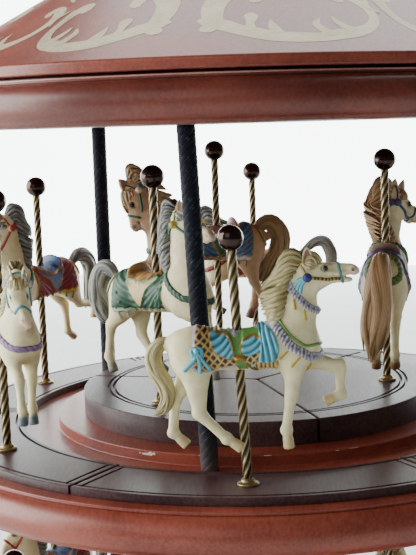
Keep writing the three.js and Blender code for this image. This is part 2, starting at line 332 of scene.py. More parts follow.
class Value:
    """A shader socket that can stand in a Python expression."""

    def __init__(self, tree: "Tree", socket: bpy.types.NodeSocket) -> None:
        """Wrap an output socket of a tree."""
        self.tree = tree
        self.socket = socket

    def work(self, operation: str, *others: "Value | float", last: bool = False) -> "Value":
        """Add a Math node that takes this value and the others, with this one first or last."""
        terms = (*others, self) if last else (self, *others)
        return self.tree.value("ShaderNodeMath", dict(enumerate(terms)), operation=operation)

    def __add__(self, other: "Value | float") -> "Value":
        """Add."""
        return self.work("ADD", other)

    __radd__ = __add__

    def __sub__(self, other: "Value | float") -> "Value":
        """Subtract."""
        return self.work("SUBTRACT", other)

    def __rsub__(self, other: float) -> "Value":
        """Subtract from a number."""
        return self.work("SUBTRACT", other, last=True)

    def __mul__(self, other: "Value | float") -> "Value":
        """Multiply."""
        return self.work("MULTIPLY", other)

    __rmul__ = __mul__

    def __truediv__(self, other: "Value | float") -> "Value":
        """Divide."""
        return self.work("DIVIDE", other)

    def __pow__(self, other: float) -> "Value":
        """Raise to a power."""
        return self.work("POWER", other)

    def ramp(self, low: float, high: float) -> "Value":
        """Spread the stretch from low to high over 0 to 1, smoothly."""
        inputs = {"Value": self, "From Min": low, "From Max": high}
        return self.tree.value("ShaderNodeMapRange", inputs, "Result", interpolation_type="SMOOTHSTEP")


class Tree:
    """A node tree that grows by one call for each node."""

    def __init__(self, tree: bpy.types.NodeTree) -> None:
        """Take a node tree."""
        self.tree = tree

    def plug(self, socket: bpy.types.NodeSocket, term: object) -> None:
        """Link a value or a socket into an input, or set the input to a constant."""
        source = term.socket if isinstance(term, Value) else term
        if isinstance(source, bpy.types.NodeSocket):
            self.tree.links.new(source, socket)
        else:
            socket.default_value = source

    def node(self, kind: str, inputs: Optional[dict] = None, **settings: "str | float") -> bpy.types.Node:
        """Add a node.

        Args:
            kind: The node's type.
            inputs: A constant, a value or a socket for each input, by name or number.
            settings: The node's own settings, which are set first.

        Returns:
            The node.
        """
        made = self.tree.nodes.new(kind)
        for key, setting in settings.items():
            setattr(made, key, setting)
        for key, term in (inputs or {}).items():
            self.plug(made.inputs[key], term)
        return made

    def value(self, kind: str, inputs: Optional[dict] = None, output: "str | int" = 0,
              **settings: "str | float") -> Value:
        """Add a node and give one of its outputs."""
        return Value(self, self.node(kind, inputs, **settings).outputs[output])


class Shader(Tree):
    """A material with one Principled node and a short way to add the rest."""

    def __init__(self, name: str) -> None:
        """Start an empty material."""
        self.material = bpy.data.materials.new(name)
        self.material.use_nodes = True
        super().__init__(self.material.node_tree)
        self.tree.nodes.clear()
        self.surface = self.node("ShaderNodeBsdfPrincipled")
        self.node("ShaderNodeOutputMaterial", {"Surface": self.surface.outputs[0]})

    def noise(self, waves: Triple, detail: float, roughness: float, scale: float = 1.0) -> Value:
        """Give a noise with a number of waves to the millimetre along each axis."""
        spot = self.value("ShaderNodeTexCoord", output="Object")
        where = self.value("ShaderNodeMapping", {"Vector": spot, "Scale": [w * 1000 for w in waves]})
        inputs = {"Vector": where, "Scale": scale, "Detail": detail, "Roughness": roughness}
        return self.value("ShaderNodeTexNoise", inputs)

    def marks(self) -> tuple[Value, Value]:
        """Give the red and the green of the mesh's paint."""
        coat = self.value("ShaderNodeAttribute", output="Color", attribute_name="Paint")
        split = self.node("ShaderNodeSeparateColor", {0: coat})
        return Value(self, split.outputs[0]), Value(self, split.outputs[1])

    def mix(self, share: "Value | float", first: "Value | Paint", second: "Value | Paint",
            how: str = "MIX") -> Value:
        """Mix two colours."""
        first, second = (c if isinstance(c, Value) else (*c[:3], 1.0) for c in (first, second))
        inputs = {0: share, 6: first, 7: second}
        return self.value("ShaderNodeMix", inputs, 2, data_type="RGBA", blend_type=how)

    def bump(self, height: Value, depth: float, strength: float) -> Value:
        """Turn a height of 0 to 1 into a normal, with its depth in millimetres."""
        inputs = {"Height": height, "Distance": depth * MM, "Strength": strength}
        return self.value("ShaderNodeBump", inputs)

    def wear(self, **sockets: "Value | float | tuple") -> None:
        """Set the Principled sockets, whose spaces are written as underscores."""
        for key, term in sockets.items():
            self.plug(self.surface.inputs[key.replace("_", " ")], term)


@dataclass(frozen=True)
class StainedWood:
    """Stained and lacquered wood with a fine short grain and an orange-peel lacquer."""

    name: str
    dark: str
    light: str
    gloss: float = 0.36
    coat: float = 0.14
    shine: float = 0.45

    def make(self) -> bpy.types.Material:
        """Build the material."""
        shade = Shader(self.name)
        fibres = shade.noise((0.5, 0.06, 0.5), 4, 0.6, 1.2)
        clouds = shade.noise((0.02, 0.02, 0.05), 3, 0.5)
        flecks = shade.noise((0.9, 0.9, 1.4), 2, 0.6)
        tone = (fibres * 0.45 + clouds * 0.55).ramp(0.32, 0.68)
        base = shade.mix(tone, paint(self.dark), paint(self.light))
        base = shade.mix(flecks.ramp(0.58, 0.8) * 0.25, base, paint(self.dark))
        peel = shade.noise((0.8, 0.8, 0.8), 2, 0.5)
        height = peel * 0.7 + fibres * 0.3
        shade.wear(
            Base_Color=base,
            Roughness=self.gloss + 0.12 * clouds - 0.04 * fibres,
            Normal=shade.bump(height, 0.05, 0.55),
            Specular_IOR_Level=self.shine,
            Coat_Roughness=0.24,
        )
        shade.surface.inputs["Coat Weight"].default_value = self.coat
        return shade.material


@dataclass(frozen=True)
class AgedBrass:
    """Brass with a brown patina that lies in the grooves and is rubbed off the high spots."""

    name: str = "AgedBrass"

    def make(self) -> bpy.types.Material:
        """Build the material, which reads how high each spot stands from the paint's red."""
        shade = Shader(self.name)
        high, polish = shade.marks()
        blot = shade.noise((0.35, 0.35, 0.2), 4, 0.6)
        rubbed = (high * 0.85 + blot * 0.4).ramp(0.5, 1.12)
        base = shade.mix(rubbed, paint("2e241a"), paint("b39f70"))
        base = shade.mix(polish, base, paint("433733"))
        scratch = shade.noise((2.0, 2.0, 0.5), 3, 0.6)
        shade.wear(
            Base_Color=base,
            Metallic=0.5 + 0.5 * (rubbed + polish).work("MINIMUM", 1.0),
            Roughness=0.42 - 0.2 * rubbed + 0.08 * scratch - 0.3 * polish,
            Normal=shade.bump(scratch, 0.02, 0.4),
        )
        return shade.material


@dataclass(frozen=True)
class PaintedResin:
    """Cast resin, painted by hand: reads the paint and its gilding from the mesh."""

    name: str = "PaintedResin"
    strands: bool = False

    def make(self) -> bpy.types.Material:
        """Build the material."""
        shade = Shader(self.name)
        coat = shade.node("ShaderNodeAttribute", attribute_name="Paint")
        colour, gilt = (Value(shade, coat.outputs[name]) for name in ("Color", "Alpha"))
        wash = shade.noise((0.25, 0.25, 0.25), 4, 0.55)
        brush = shade.noise((1.6, 1.6, 0.7), 3, 0.6)
        shaded = shade.mix(wash.ramp(0.35, 0.7) * 0.16, colour, paint("6e5a3c"), "MULTIPLY")
        base = shade.mix(brush.ramp(0.5, 0.85) * 0.12, shaded, paint("fffbe8"))
        height = brush * 0.5 + wash * 0.5
        if self.strands:
            chart = shade.value("ShaderNodeUVMap", uv_map="Grain")
            inputs = {"Vector": chart, "Scale": 1.6, "Distortion": 1.4, "Detail": 2.0, "Detail Scale": 0.7}
            bands = {"wave_type": "BANDS", "bands_direction": "X", "wave_profile": "SIN"}
            hairs = shade.value("ShaderNodeTexWave", inputs, 1, **bands)
            # The grooves between the strands are painted darker: painted shade.
            base = shade.mix((1 - hairs) * 0.4, base, paint("5b4a30"), "MULTIPLY")
            height = height * 0.3 + hairs * 0.7
        shade.wear(
            Base_Color=base,
            Metallic=gilt * 0.85,
            Roughness=0.46 - 0.12 * gilt + 0.16 * wash,
            Normal=shade.bump(height, 0.28 if self.strands else 0.1, 0.5),
            Coat_Roughness=0.3,
        )
        shade.surface.inputs["Coat Weight"].default_value = 0.12
        return shade.material


@dataclass(frozen=True)
class PostPaint:
    """Blue-black paint with painted shade in the rope's grooves, pale grey flecks on its ridges and paler grey
    near the foot.
    """

    name: str = "PostPaint"

    def make(self) -> bpy.types.Material:
        """Build the material."""
        shade = Shader(self.name)
        high, foot = shade.marks()
        blot = shade.noise((0.3, 0.3, 0.3), 4, 0.6)
        fine = shade.noise((1.4, 1.4, 1.4), 2, 0.6)
        # The grooves are painted darker than the ridges: painted shade.
        base = shade.mix(high.ramp(0.2, 0.75), paint("020306"), paint("111724"))
        # Pale grey flecks on the shoulders of the ridges.
        pale_fleck = high.ramp(0.5, 0.7) * (1 - high.ramp(0.7, 0.9)) * blot.ramp(0.5, 0.62)
        base = shade.mix(pale_fleck * 0.3, base, paint("7d8494"))
        # Paler grey towards the foot.
        base = shade.mix(foot * (0.7 + 0.25 * fine), base, paint("6b6264"))
        shade.wear(Base_Color=base, Roughness=0.5 + 0.2 * blot, Normal=shade.bump(fine, 0.04, 0.4))
        shade.surface.inputs["Specular IOR Level"].default_value = 0.16
        return shade.material


@dataclass(frozen=True)
class GiltScroll:
    """Champagne-gold paint, laid thin so that the wood's grain shows through."""

    name: str = "GiltScroll"

    def make(self) -> bpy.types.Material:
        """Build the material."""
        shade = Shader(self.name)
        grain = shade.noise((0.5, 0.5, 2.2), 3, 0.6)
        blot = shade.noise((0.08, 0.08, 0.08), 3, 0.5)
        base = shade.mix((grain * 0.6 + blot * 0.4).ramp(0.35, 0.7), paint("b3a684"), paint("d6ccaa"))
        relief = shade.bump(grain, 0.05, 0.4)
        shade.wear(Base_Color=base, Metallic=0.25, Roughness=0.4 + 0.15 * grain, Normal=relief)
        return shade.material


@dataclass(frozen=True)
class StudioPaper:
    """Plain pale paper for the floor."""

    name: str = "StudioPaper"

    def make(self) -> bpy.types.Material:
        """Build the material."""
        shade = Shader(self.name)
        tooth = shade.noise((0.02, 0.02, 0.02), 3, 0.5)
        base = shade.mix(tooth, paint("eef1f0"), paint("f6f8f7"))
        shade.wear(Base_Color=base, Roughness=0.9)
        return shade.material


@dataclass(frozen=True)
class WindowGlow:
    """A cloth that glows evenly, like a window behind thin curtains."""

    name: str = "WindowGlow"
    strength: float = 9.0

    def make(self) -> bpy.types.Material:
        """Build the material."""
        shade = Shader(self.name)
        drift = shade.noise((0.0008, 0.0008, 0.0002), 2, 0.4)
        glow = shade.mix(drift.ramp(0.3, 0.7), paint("e9f3f1"), paint("fdfefd"))
        shade.wear(Base_Color=(0.0, 0.0, 0.0, 1.0), Emission_Color=glow, Roughness=1.0)
        shade.surface.inputs["Emission Strength"].default_value = self.strength
        return shade.material


class Finishes:
    """Every material, made once."""

    def __init__(self) -> None:
        """Make the materials."""
        self.cherry = StainedWood("CherryStain", "6e281d", "994a38", shine=0.5).make()
        # The canopy board gets a darker copy of the cherry stain: painted shade.
        self.canopy = StainedWood("CanopyShadedStain", "541d15", "7c3728", coat=0.16, shine=0.5).make()
        self.dark = StainedWood("WalnutStain", "331e24", "58403f", gloss=0.34, coat=0.03, shine=0.17).make()
        # A pale copy of the cherry stain for the bead along the canopy's top edge: a painted highlight.
        self.pale_mark = StainedWood("PaintedHighlightBead", "b26f62", "d9a195", gloss=0.24, coat=0.6).make()
        self.chipped = StainedWood("ChippedEdge", "d8c0ae", "efe2d4", gloss=0.6, coat=0.0).make()
        self.brass = AgedBrass().make()
        self.resin = PaintedResin().make()
        self.hair = PaintedResin("PaintedHair", strands=True).make()
        self.post = PostPaint().make()
        self.gilt = GiltScroll().make()
        self.paper = StudioPaper().make()
        self.window = WindowGlow().make()


# Woodwork


@dataclass
class Boards:
    """The three turned boards, the roof and the finial."""

    plan: Plan
    finishes: Finishes
    sides: int = 192

    def rim(self, bottom: float) -> list[tuple[float, float]]:
        """Give the bullnose from the underside to the little step under the lip."""
        plan = self.plan
        points = [(0.0, bottom), (plan.rim_foot - 3.2, bottom), (plan.rim_foot - 0.8, bottom + 0.5)]
        bulge = 10.2
        middle = bottom + 0.47 * plan.board
        for k in range(1, 19):
            turn = math.radians(-72 + 164 * (k / 19))
            swell = math.cos(turn)
            out = plan.rim_radius - bulge + bulge * swell**0.9 if swell > 0 else plan.rim_radius
            points.append((out, middle + 0.445 * plan.board * math.sin(turn)))
        return points

    def board(self, bottom: float, radius: float, rise: float) -> Surface:
        """Turn a board with a round step of a radius and a height on its top."""
        lip, top = self.plan.lip_radius, bottom + self.plan.board
        crown = [(radius, top), (radius, top + rise), (0.0, top + rise)]
        step = rounded([(lip + 0.7, top - 1.5), (lip - 0.1, top - 1.5), (lip - 0.1, top), *crown], 0.7)
        return turned([*self.rim(bottom), *step[1:]], self.sides)

    def decks(self) -> None:
        """Build the two deck boards with their raised tiers."""
        plan = self.plan
        for storey in Storey:
            surface = self.board(plan.board_top(storey) - plan.board, plan.tier_radius, plan.tier_height)
            piece = write_mesh(f"{storey.value}_deck_turning", surface, 40)
            settle(piece, self.finishes.cherry, [f"{storey.value}_deck_board"])
            LOG.info("%s deck board turned", storey.value)

    def canopy(self) -> None:
        """Build the canopy board, its shadow gap and the roof over it."""
        plan = self.plan
        top = plan.canopy_bottom + plan.board
        surface = self.board(plan.canopy_bottom, plan.shadow_radius, plan.shadow_gap)
        piece = write_mesh("canopy_turning", surface, 40)
        settle(piece, self.finishes.canopy, ["canopy_board"])
        # A thin bead along the canopy's top edge in a pale stain: a painted highlight.
        edge = plan.lip_radius - 0.25
        arc = [(edge + 0.5 * math.cos(a), top - 0.2 + 0.5 * math.sin(a)) for a in np.linspace(-1.57, 2.4, 9)]
        piece = write_mesh("canopy_highlight_bead", turned([(0.0, top - 0.7), *arc, (0.0, top - 0.5)], self.sides))
        settle(piece, self.finishes.pale_mark)
        base = plan.roof_bottom
        slope = []
        for k in range(1, 25):
            reach = plan.roof_radius + (plan.cap_radius - plan.roof_radius) * (k / 24)
            slope.append((reach, base + plan.roof_lip + plan.roof_rise * k / 24))
        lip = [(0.0, base), (plan.roof_radius, base), (plan.roof_radius, base + plan.roof_lip)]
        roof = rounded([*lip, slope[0], slope[1]], 1.1)[:-1]
        surface = turned([*roof, *slope[1:], (0.0, slope[-1][1])], self.sides)
        piece = write_mesh("roof_turning", surface, 40)
        settle(piece, self.finishes.cherry, ["roof"])
        LOG.info("canopy board and roof turned")

    def chips(self) -> None:
        """Lay the pale chips where the upper tier's edge is knocked, and short thin pale streaks just under
        its top edge.
        """
        plan = self.plan
        chance = np.random.default_rng(5)
        made = []
        # The first four spots are chips; the last four are thin pale streaks just under the tier's top edge.
        spots = (
            (-119.6, 4.2, 2.6, 0.7), (-118.3, 4.6, 1.5, 1.3), (-117.2, 4.9, 0.9, 0.9),
            (-121.4, 4.4, 0.7, 0.4), (-104.5, 6.1, 1.4, 0.2), (-88.0, 6.2, 2.2, 0.2),
            (-70.5, 6.1, 1.0, 0.2), (-66.0, 6.2, 3.0, 0.18),
        )
        for angle, height, long, tall in spots:
            u, v = np.meshgrid(np.linspace(-1, 1, 15), np.linspace(-1, 1, 7), indexing="ij")
            ragged = np.repeat(chance.uniform(0.55, 1.15, 15)[:, None], 7, axis=1)
            turn = math.radians(angle) + u * long / plan.tier_radius
            oval = np.sqrt(np.clip(1 - u**2, 0.02, 1))
            z = plan.board_top(Storey.UPPER) + height + v * tall * ragged * oval
            z = np.minimum(z, plan.board_top(Storey.UPPER) + plan.tier_height - 0.1)
            sheets = []
            for reach in (plan.tier_radius + 0.06, plan.tier_radius - 0.4):
                sheets.append(np.stack([reach * np.cos(turn), reach * np.sin(turn), z], -1).reshape(-1, 3))
            made.append(shell(*sheets, *z.shape))
        piece = write_mesh("upper_tier_chips", joined(made), 60)
        settle(piece, self.finishes.chipped)

    def finial(self) -> None:
        """Build the turned knob on the roof."""
        base = self.plan.roof_bottom + self.plan.roof_lip + self.plan.roof_rise
        profile = [
            (0.0, 0.0), (9.0, 0.0), (9.0, 1.6), (8.0, 2.6), (8.2, 3.4), (5.2, 4.6), (3.6, 6.4), (3.3, 8.0),
            (4.4, 9.2), (4.4, 10.0), (6.6, 11.8), (8.0, 14.2), (8.6, 17.0), (8.0, 19.8), (6.4, 22.4),
            (4.0, 24.6), (2.4, 26.2), (2.9, 27.4), (2.0, 29.2), (1.0, 31.2), (0.0, 32.0),
        ]
        surface = turned([(r, z + base) for r, z in rounded(profile, 0.5, 2)], 48)
        piece = write_mesh("finial_turning", surface, 50)
        settle(piece, self.finishes.cherry, ["finial"])
        LOG.info("finial turned")


@dataclass
class Scrolls:
    """The painted scrollwork round the roof: one motif, mirrored and repeated six times."""

    plan: Plan
    finishes: Finishes
    axis: float = -100.2
    strokes: tuple[tuple[Triple, ...], ...] = (
        ((2.2, 169.5, 1.2), (4.6, 173.0, 4.4), (6.6, 175.5, 4.9), (8.6, 179.4, 4.4), (10.8, 182.6, 4.7),
         (13.6, 186.4, 4.7), (17.6, 188.4, 4.4), (20.9, 188.4, 4.0), (24.1, 185.8, 4.6), (26.6, 183.8, 4.2),
         (29.0, 179.6, 3.1), (30.9, 172.0, 2.4), (31.5, 163.5, 2.5), (31.0, 155.5, 3.0), (29.6, 149.5, 3.4),
         (27.6, 147.6, 3.2), (27.0, 151.2, 2.6), (28.0, 154.2, 1.4)),
        ((5.4, 176.0, 3.0), (4.7, 170.5, 4.8), (4.3, 164.0, 5.4), (4.3, 157.0, 5.8), (5.0, 149.5, 6.0),
         (7.2, 143.0, 5.2), (9.8, 141.5, 4.4), (11.8, 145.0, 3.8), (11.9, 149.8, 3.6), (11.0, 153.0, 1.4)),
        ((2.9, 177.8, 0.8), (3.3, 178.0, 2.6), (4.0, 178.2, 3.4), (4.7, 178.2, 3.2), (5.6, 177.4, 1.2)),
        ((10.6, 181.0, 3.0), (10.6, 174.5, 2.0), (10.8, 170.2, 2.8), (10.8, 166.8, 3.3), (10.8, 164.0, 1.0)),
        ((14.6, 184.0, 3.0), (14.0, 177.5, 2.3), (13.8, 171.2, 0.2)),
        ((22.6, 187.0, 2.4), (21.4, 181.5, 2.4), (20.8, 176.0, 1.9), (21.8, 170.6, 0.2)),
        ((26.0, 183.5, 2.6), (24.9, 178.4, 2.1), (24.1, 173.4, 1.3), (23.9, 168.8, 0.2)),
        ((33.0, 166.0, 0.2), (31.8, 158.0, 1.8), (33.4, 150.0, 0.2)),
        ((2.0, 146.0, 0.3), (3.6, 138.5, 2.6), (3.0, 130.5, 2.4), (0.9, 124.0, 0.3)),
        ((30.0, 141.0, 0.3), (27.4, 134.0, 2.4), (28.2, 126.0, 2.2), (30.0, 119.0, 0.3)),
    )

    def warped(self, offset: float, side: int) -> float:
        """Give an angle on the roof: the left half of each motif is a little narrower."""
        narrow = 1 - 0.21 * (offset / 31.9) ** 1.5 if side < 0 else 1.0
        return self.axis + side * offset * narrow

    def laid(self, flat: Array, rise: float) -> Array:
        """Lay angles in radians and radii on the roof, lifted a little off it."""
        plan = self.plan
        fall = plan.roof_rise / (plan.roof_radius - plan.cap_radius)
        z = plan.roof_bottom + plan.roof_lip + (plan.roof_radius - flat[..., 1]) * fall
        lift = rise / math.hypot(1, fall)
        reach = flat[..., 1] + lift * fall
        return np.stack([reach * np.cos(flat[..., 0]), reach * np.sin(flat[..., 0]), z + lift], -1)

    def stroke(self, keys: Sequence[Triple], side: int, rise: float) -> Surface:
        """Lay one brush stroke on the roof.

        Args:
            keys: Offset in degrees, radius and half width at points along it.
            side: 1, or -1 for its mirror image.
            rise: Its thickness.

        Returns:
            A closed sheet.
        """
        line = curve([(math.radians(self.warped(a, side)), r, w) for a, r, w in keys], 7 * len(keys))
        step = np.gradient(line, axis=0)
        ahead = unit(np.stack([step[:, 0] * line[:, 1], step[:, 1]], -1))
        across = np.stack([-ahead[:, 1], ahead[:, 0]], -1)
        share = np.linspace(-1, 1, 5)
        offset = across[:, None] * (np.maximum(line[:, 2], 0.1)[:, None] * share)[..., None]
        radii = line[:, None, 1] + offset[..., 1]
        angles = line[:, None, 0] + offset[..., 0] / np.maximum(radii, 1.0)
        flat = np.stack([angles, radii], -1)
        top, under = self.laid(flat, rise), self.laid(flat, -0.3)
        return shell(top.reshape(-1, 3), under.reshape(-1, 3), *angles.shape)

    def build(self) -> None:
        """Paint one motif and repeat it round the axis."""
        made = []
        for side in (-1, 1):
            for number, keys in enumerate(self.strokes):
                made.append(self.stroke(keys, side, 0.1 + 0.012 * number))
        motif = write_mesh("roof_motif", joined(made), 60)
        mesh = motif.data
        bpy.data.objects.remove(motif)
        values = {"Copies": 6, "Material": self.finishes.gilt}
        piece = linked("roof_scrollwork", RingRepeat().run("roof_scrollwork", values, mesh))
        settle(piece, self.finishes.gilt)
        LOG.info("roof scrollwork painted")


@dataclass
class Panels:
    """The dark ring segments and the sectors of the raised centre, with their scored lines."""

    plan: Plan
    finishes: Finishes
    score_depth: float = 1.9
    score_width: float = 1.85
    bevel: float = 0.55

    def groove(self, middle: float) -> list[Pair]:
        """Give the place and the depth of each point across a scored line."""
        half, depth = self.score_width / 2, self.score_depth
        steps = ((-1.3, 0), (-1.0, 0), (-0.7, depth), (0.7, depth), (1.0, 0), (1.3, 0))
        return [(middle + shift * half, drop) for shift, drop in steps]

    def section(self, inner: float, outer: float, height: float, scores: Sequence[float]) -> Array:
        """Give the cross-section of a panel as a closed loop of radius, height and top flag.

        Args:
            inner: Inner radius.
            outer: Outer radius.
            height: Thickness.
            scores: Radius of each scored line.

        Returns:
            One point to a line, from the bottom's inner corner round to the start.
        """
        b = self.bevel
        loop = [(inner + 0.2, 0.0, 0), (outer - 0.2, 0.0, 0), (outer, 0.2, 0), (outer, height - b, 0)]
        loop += [(outer - b * 0.3, height - b * 0.3, 1), (outer - b, height, 1), (outer - b - 0.3, height, 1)]
        for radius in sorted(scores, reverse=True):
            loop += [(place, height - drop, 1) for place, drop in reversed(self.groove(radius))]
        top_inner = loop[-1][0]
        span = top_inner - (inner + b + 0.3)
        for k in range(1, 6):
            loop.append((top_inner - span * k / 6, height, 1))
        loop += [(inner + b + 0.3, height, 1), (inner + b, height, 1), (inner + b * 0.3, height - b * 0.3, 1)]
        loop += [(inner, height - b, 0), (inner, 0.2, 0)]
        return np.array(loop)

    def panel(self, start: float, end: float, loop: Array, height: float, score_at: Optional[float],
              score_from: float, score_to: float, steps: int) -> Surface:
        """Sweep a section between two seams, with a line scored along each seam.

        Args:
            start: Angle of the first seam in degrees.
            end: Angle of the second seam.
            loop: The section.
            height: Thickness.
            score_at: Distance of the scored line from the seam's middle, or None.
            score_from: Radius where the scored line starts.
            score_to: Radius where it ends.
            steps: Stations between the two scored lines.

        Returns:
            A closed surface with its bottom at zero.
        """
        gap = self.plan.seam / 2
        b = self.bevel
        near = [(gap, b), (gap + b * 0.3, b * 0.3), (gap + b, 0.0), (gap + b + 0.3, 0.0)]
        if score_at is not None:
            near += self.groove(score_at)
        stations = [(off, drop, 0) for off, drop in near]
        stations += [(k / steps, 0.0, 1) for k in range(1, steps)]
        stations += [(off, drop, 2) for off, drop in reversed(near)]
        radii, heights, top = loop[:, 0], loop[:, 1], loop[:, 2] > 0.5
        inside = (radii > score_from) & (radii < score_to)
        last = near[-1][0]
        safe = np.maximum(radii, 1e-3)
        low = math.radians(start) + np.arcsin(np.clip(last / safe, -1, 1))
        high = math.radians(end) - np.arcsin(np.clip(last / safe, -1, 1))
        rows = []
        for index, (value, drop, kind) in enumerate(stations):
            turn = low + (high - low) * value
            if kind == 0:
                turn = math.radians(start) + np.arcsin(np.clip(value / safe, -1, 1))
            elif kind == 2:
                turn = math.radians(end) - np.arcsin(np.clip(value / safe, -1, 1))
            edge = index < 3 or index >= len(stations) - 3
            cut = top & (inside | edge)
            z = np.where(cut, np.minimum(heights, height - drop), heights)
            rows.append(np.stack([radii * np.cos(turn), radii * np.sin(turn), z], -1))
        middle = np.array([rows[0].mean(0), rows[-1].mean(0)])
        faces = [block[:, ::-1] for block in tube_faces(len(rows), len(loop))]
        return Surface(np.vstack([*rows, middle]), faces)

    def write(self, storey: Storey, made: Sequence[Surface], kind: str, share: str) -> None:
        """Write the panels of a storey: one piece below, and one piece to each panel above."""
        pieces = [(f"lower_{kind}_panels", joined(made), f"lower_{kind}")]
        if storey is Storey.UPPER:
            pieces = []
            for number, surface in enumerate(made, 1):
                pieces.append((f"upper_{kind}_panel_{number}", surface, f"upper_{kind}_{share}_{number}"))
        for name, surface, node in pieces:
            piece = write_mesh(name, surface, 35)
            settle(piece, self.finishes.dark, [node])

    def rings(self) -> None:
        """Build the six segments of each storey's ring."""
        plan = self.plan
        inner, outer, height, margin = plan.ring_inner, plan.ring_outer, plan.ring_height, 3.6
        loop = self.section(inner, outer, height, (outer - margin, inner + margin))
        for storey in Storey:
            lift = Matrix.Translation((0, 0, plan.board_top(storey)))
            made = []
            for start in range(0, 360, 60):
                piece = self.panel(start, start + 60, loop, height, 5.0, inner + margin, outer - margin, 26)
                made.append(piece.moved(lift))
            self.write(storey, made, "ring", "segment")
        LOG.info("ring segments cut and scored")

    def plinths(self) -> None:
        """Build the three sectors of each storey's raised centre."""
        plan = self.plan
        apex = plan.seam / 2 / math.sin(math.pi / 3)
        outer, height = plan.plinth_radius, plan.plinth_height
        loop = self.section(apex + 0.4, outer, height, (0.858 * outer, 0.828 * outer))
        for storey in Storey:
            lift = Matrix.Translation((0, 0, plan.board_top(storey) + plan.tier_height))
            made = []
            for index in range(3):
                start = plan.plinth_seam + 120 * index
                made.append(self.panel(start, start + 120, loop, height, None, 0, 0, 56).moved(lift))
            self.write(storey, made, "plinth", "sector")
        LOG.info("raised centres cut and scored")


# Twisted rods


class NodeGroup(Tree):
    """A Geometry Nodes tree under construction."""

    def __init__(self, name: str, sizes: dict[str, tuple[str, float]]) -> None:
        """Start a tree.

        Args:
            name: The tree's name.
            sizes: Socket type and default of each named input.
        """
        super().__init__(bpy.data.node_groups.new(name, "GeometryNodeTree"))
        face = self.tree.interface
        face.new_socket("Geometry", in_out="INPUT", socket_type="NodeSocketGeometry")
        face.new_socket("Geometry", in_out="OUTPUT", socket_type="NodeSocketGeometry")
        self.identifiers: dict[str, str] = {}
        for label, (kind, default) in sizes.items():
            socket = face.new_socket(label, in_out="INPUT", socket_type=kind)
            if kind != "NodeSocketMaterial":
                socket.default_value = default
            self.identifiers[label] = socket.identifier
        self.entry = self.node("NodeGroupInput")
        self.exit = self.node("NodeGroupOutput")

    def size(self, label: str) -> Value:
        """Give one of the named inputs."""
        return Value(self, self.entry.outputs[label])

    def finish(self, geometry: Value) -> None:
        """End the tree with Realize Instances and Set Material."""
        real = self.value("GeometryNodeRealizeInstances", {"Geometry": geometry})
        dressed = self.value("GeometryNodeSetMaterial", {"Geometry": real, "Material": self.size("Material")})
        self.plug(self.exit.inputs[0], dressed)

    def run(self, name: str, values: dict, base: Optional[bpy.types.Mesh] = None) -> bpy.types.Mesh:
        """Run the tree on a mesh and return the result as a plain mesh.

        Args:
            name: Name of the new mesh.
            values: Value of each named input.
            base: The mesh that the tree starts from, or None.

        Returns:
            A new mesh. Nothing else stays in the scene.
        """
        start = base if base is not None else bpy.data.meshes.new(name + "_seed")
        holder = linked(name + "_holder", start)
        modifier = holder.modifiers.new("Maker", "NODES")
        modifier.node_group = self.tree
        for label, value in values.items():
            modifier[self.identifiers[label]] = value
        graph = bpy.context.evaluated_depsgraph_get()
        made = bpy.data.meshes.new_from_object(holder.evaluated_get(graph))
        holder.modifiers.remove(modifier)
        bpy.data.objects.remove(holder)
        bpy.data.meshes.remove(start)
        made.name = name
        return made


class TwistedRod(NodeGroup):
    """A round rod with spiral lobes, made by turning a lobed section as it rises."""

    def __init__(self) -> None:
        """Build the tree."""
        number, whole = "NodeSocketFloat", "NodeSocketInt"
        super().__init__(
            "TwistedRod",
            {
                "Radius": (number, 0.0024),
                "Lobe Depth": (number, 0.14),
                "Lobe Sharpness": (number, 0.6),
                "Lobes": (number, 5.0),
                "Sides": (whole, 40),
                "Rows": (whole, 120),
                "Bottom": (number, 0.0),
                "Height": (number, 0.12),
                "Pitch": (number, 0.03),
                "Pale Foot": (number, 0.0),
                "Material": ("NodeSocketMaterial", 0.0),
            },
        )
        size = self.size
        inputs = {"Vertices": size("Sides"), "Side Segments": size("Rows"), "Depth": size("Height")}
        tube = self.value("GeometryNodeMeshCylinder", {**inputs, "Radius": 1.0}, "Mesh")
        spot = self.node("ShaderNodeSeparateXYZ", {0: self.value("GeometryNodeInputPosition")})
        x, y, z = (Value(self, axis) for axis in spot.outputs)
        turn = y.work("ARCTAN2", x)
        wave = (turn * size("Lobes")).work("COSINE")
        lobe = (wave * 0.5 + 0.5) ** size("Lobe Sharpness")
        reach = (x * x + y * y).work("SQRT")
        radius = size("Radius") * (1 - size("Lobe Depth") * (1 - lobe)) * reach
        above = z + size("Height") * 0.5
        spun = turn + above / size("Pitch") * (2 * math.pi)
        place = {0: radius * spun.work("COSINE"), 1: radius * spun.work("SINE"), 2: above + size("Bottom")}
        moved = self.value("ShaderNodeCombineXYZ", place)
        # The share by which the paint turns paler grey towards the foot, kept in the paint's green.
        pale_mark = (1 - above / (size("Pale Foot") + 1e-6)).work("MAXIMUM", 0.0) * 0.8
        tone = self.value("FunctionNodeCombineColor", {0: lobe, 1: pale_mark, 2: 0.0})
        inputs = {"Geometry": tube, "Name": "Paint", "Value": tone}
        domain = {"data_type": "FLOAT_COLOR", "domain": "POINT"}
        stored = self.value("GeometryNodeStoreNamedAttribute", inputs, **domain)
        shaped = self.value("GeometryNodeSetPosition", {"Geometry": stored, "Position": moved})
        self.finish(self.value("GeometryNodeSetShadeSmooth", {"Geometry": shaped}))


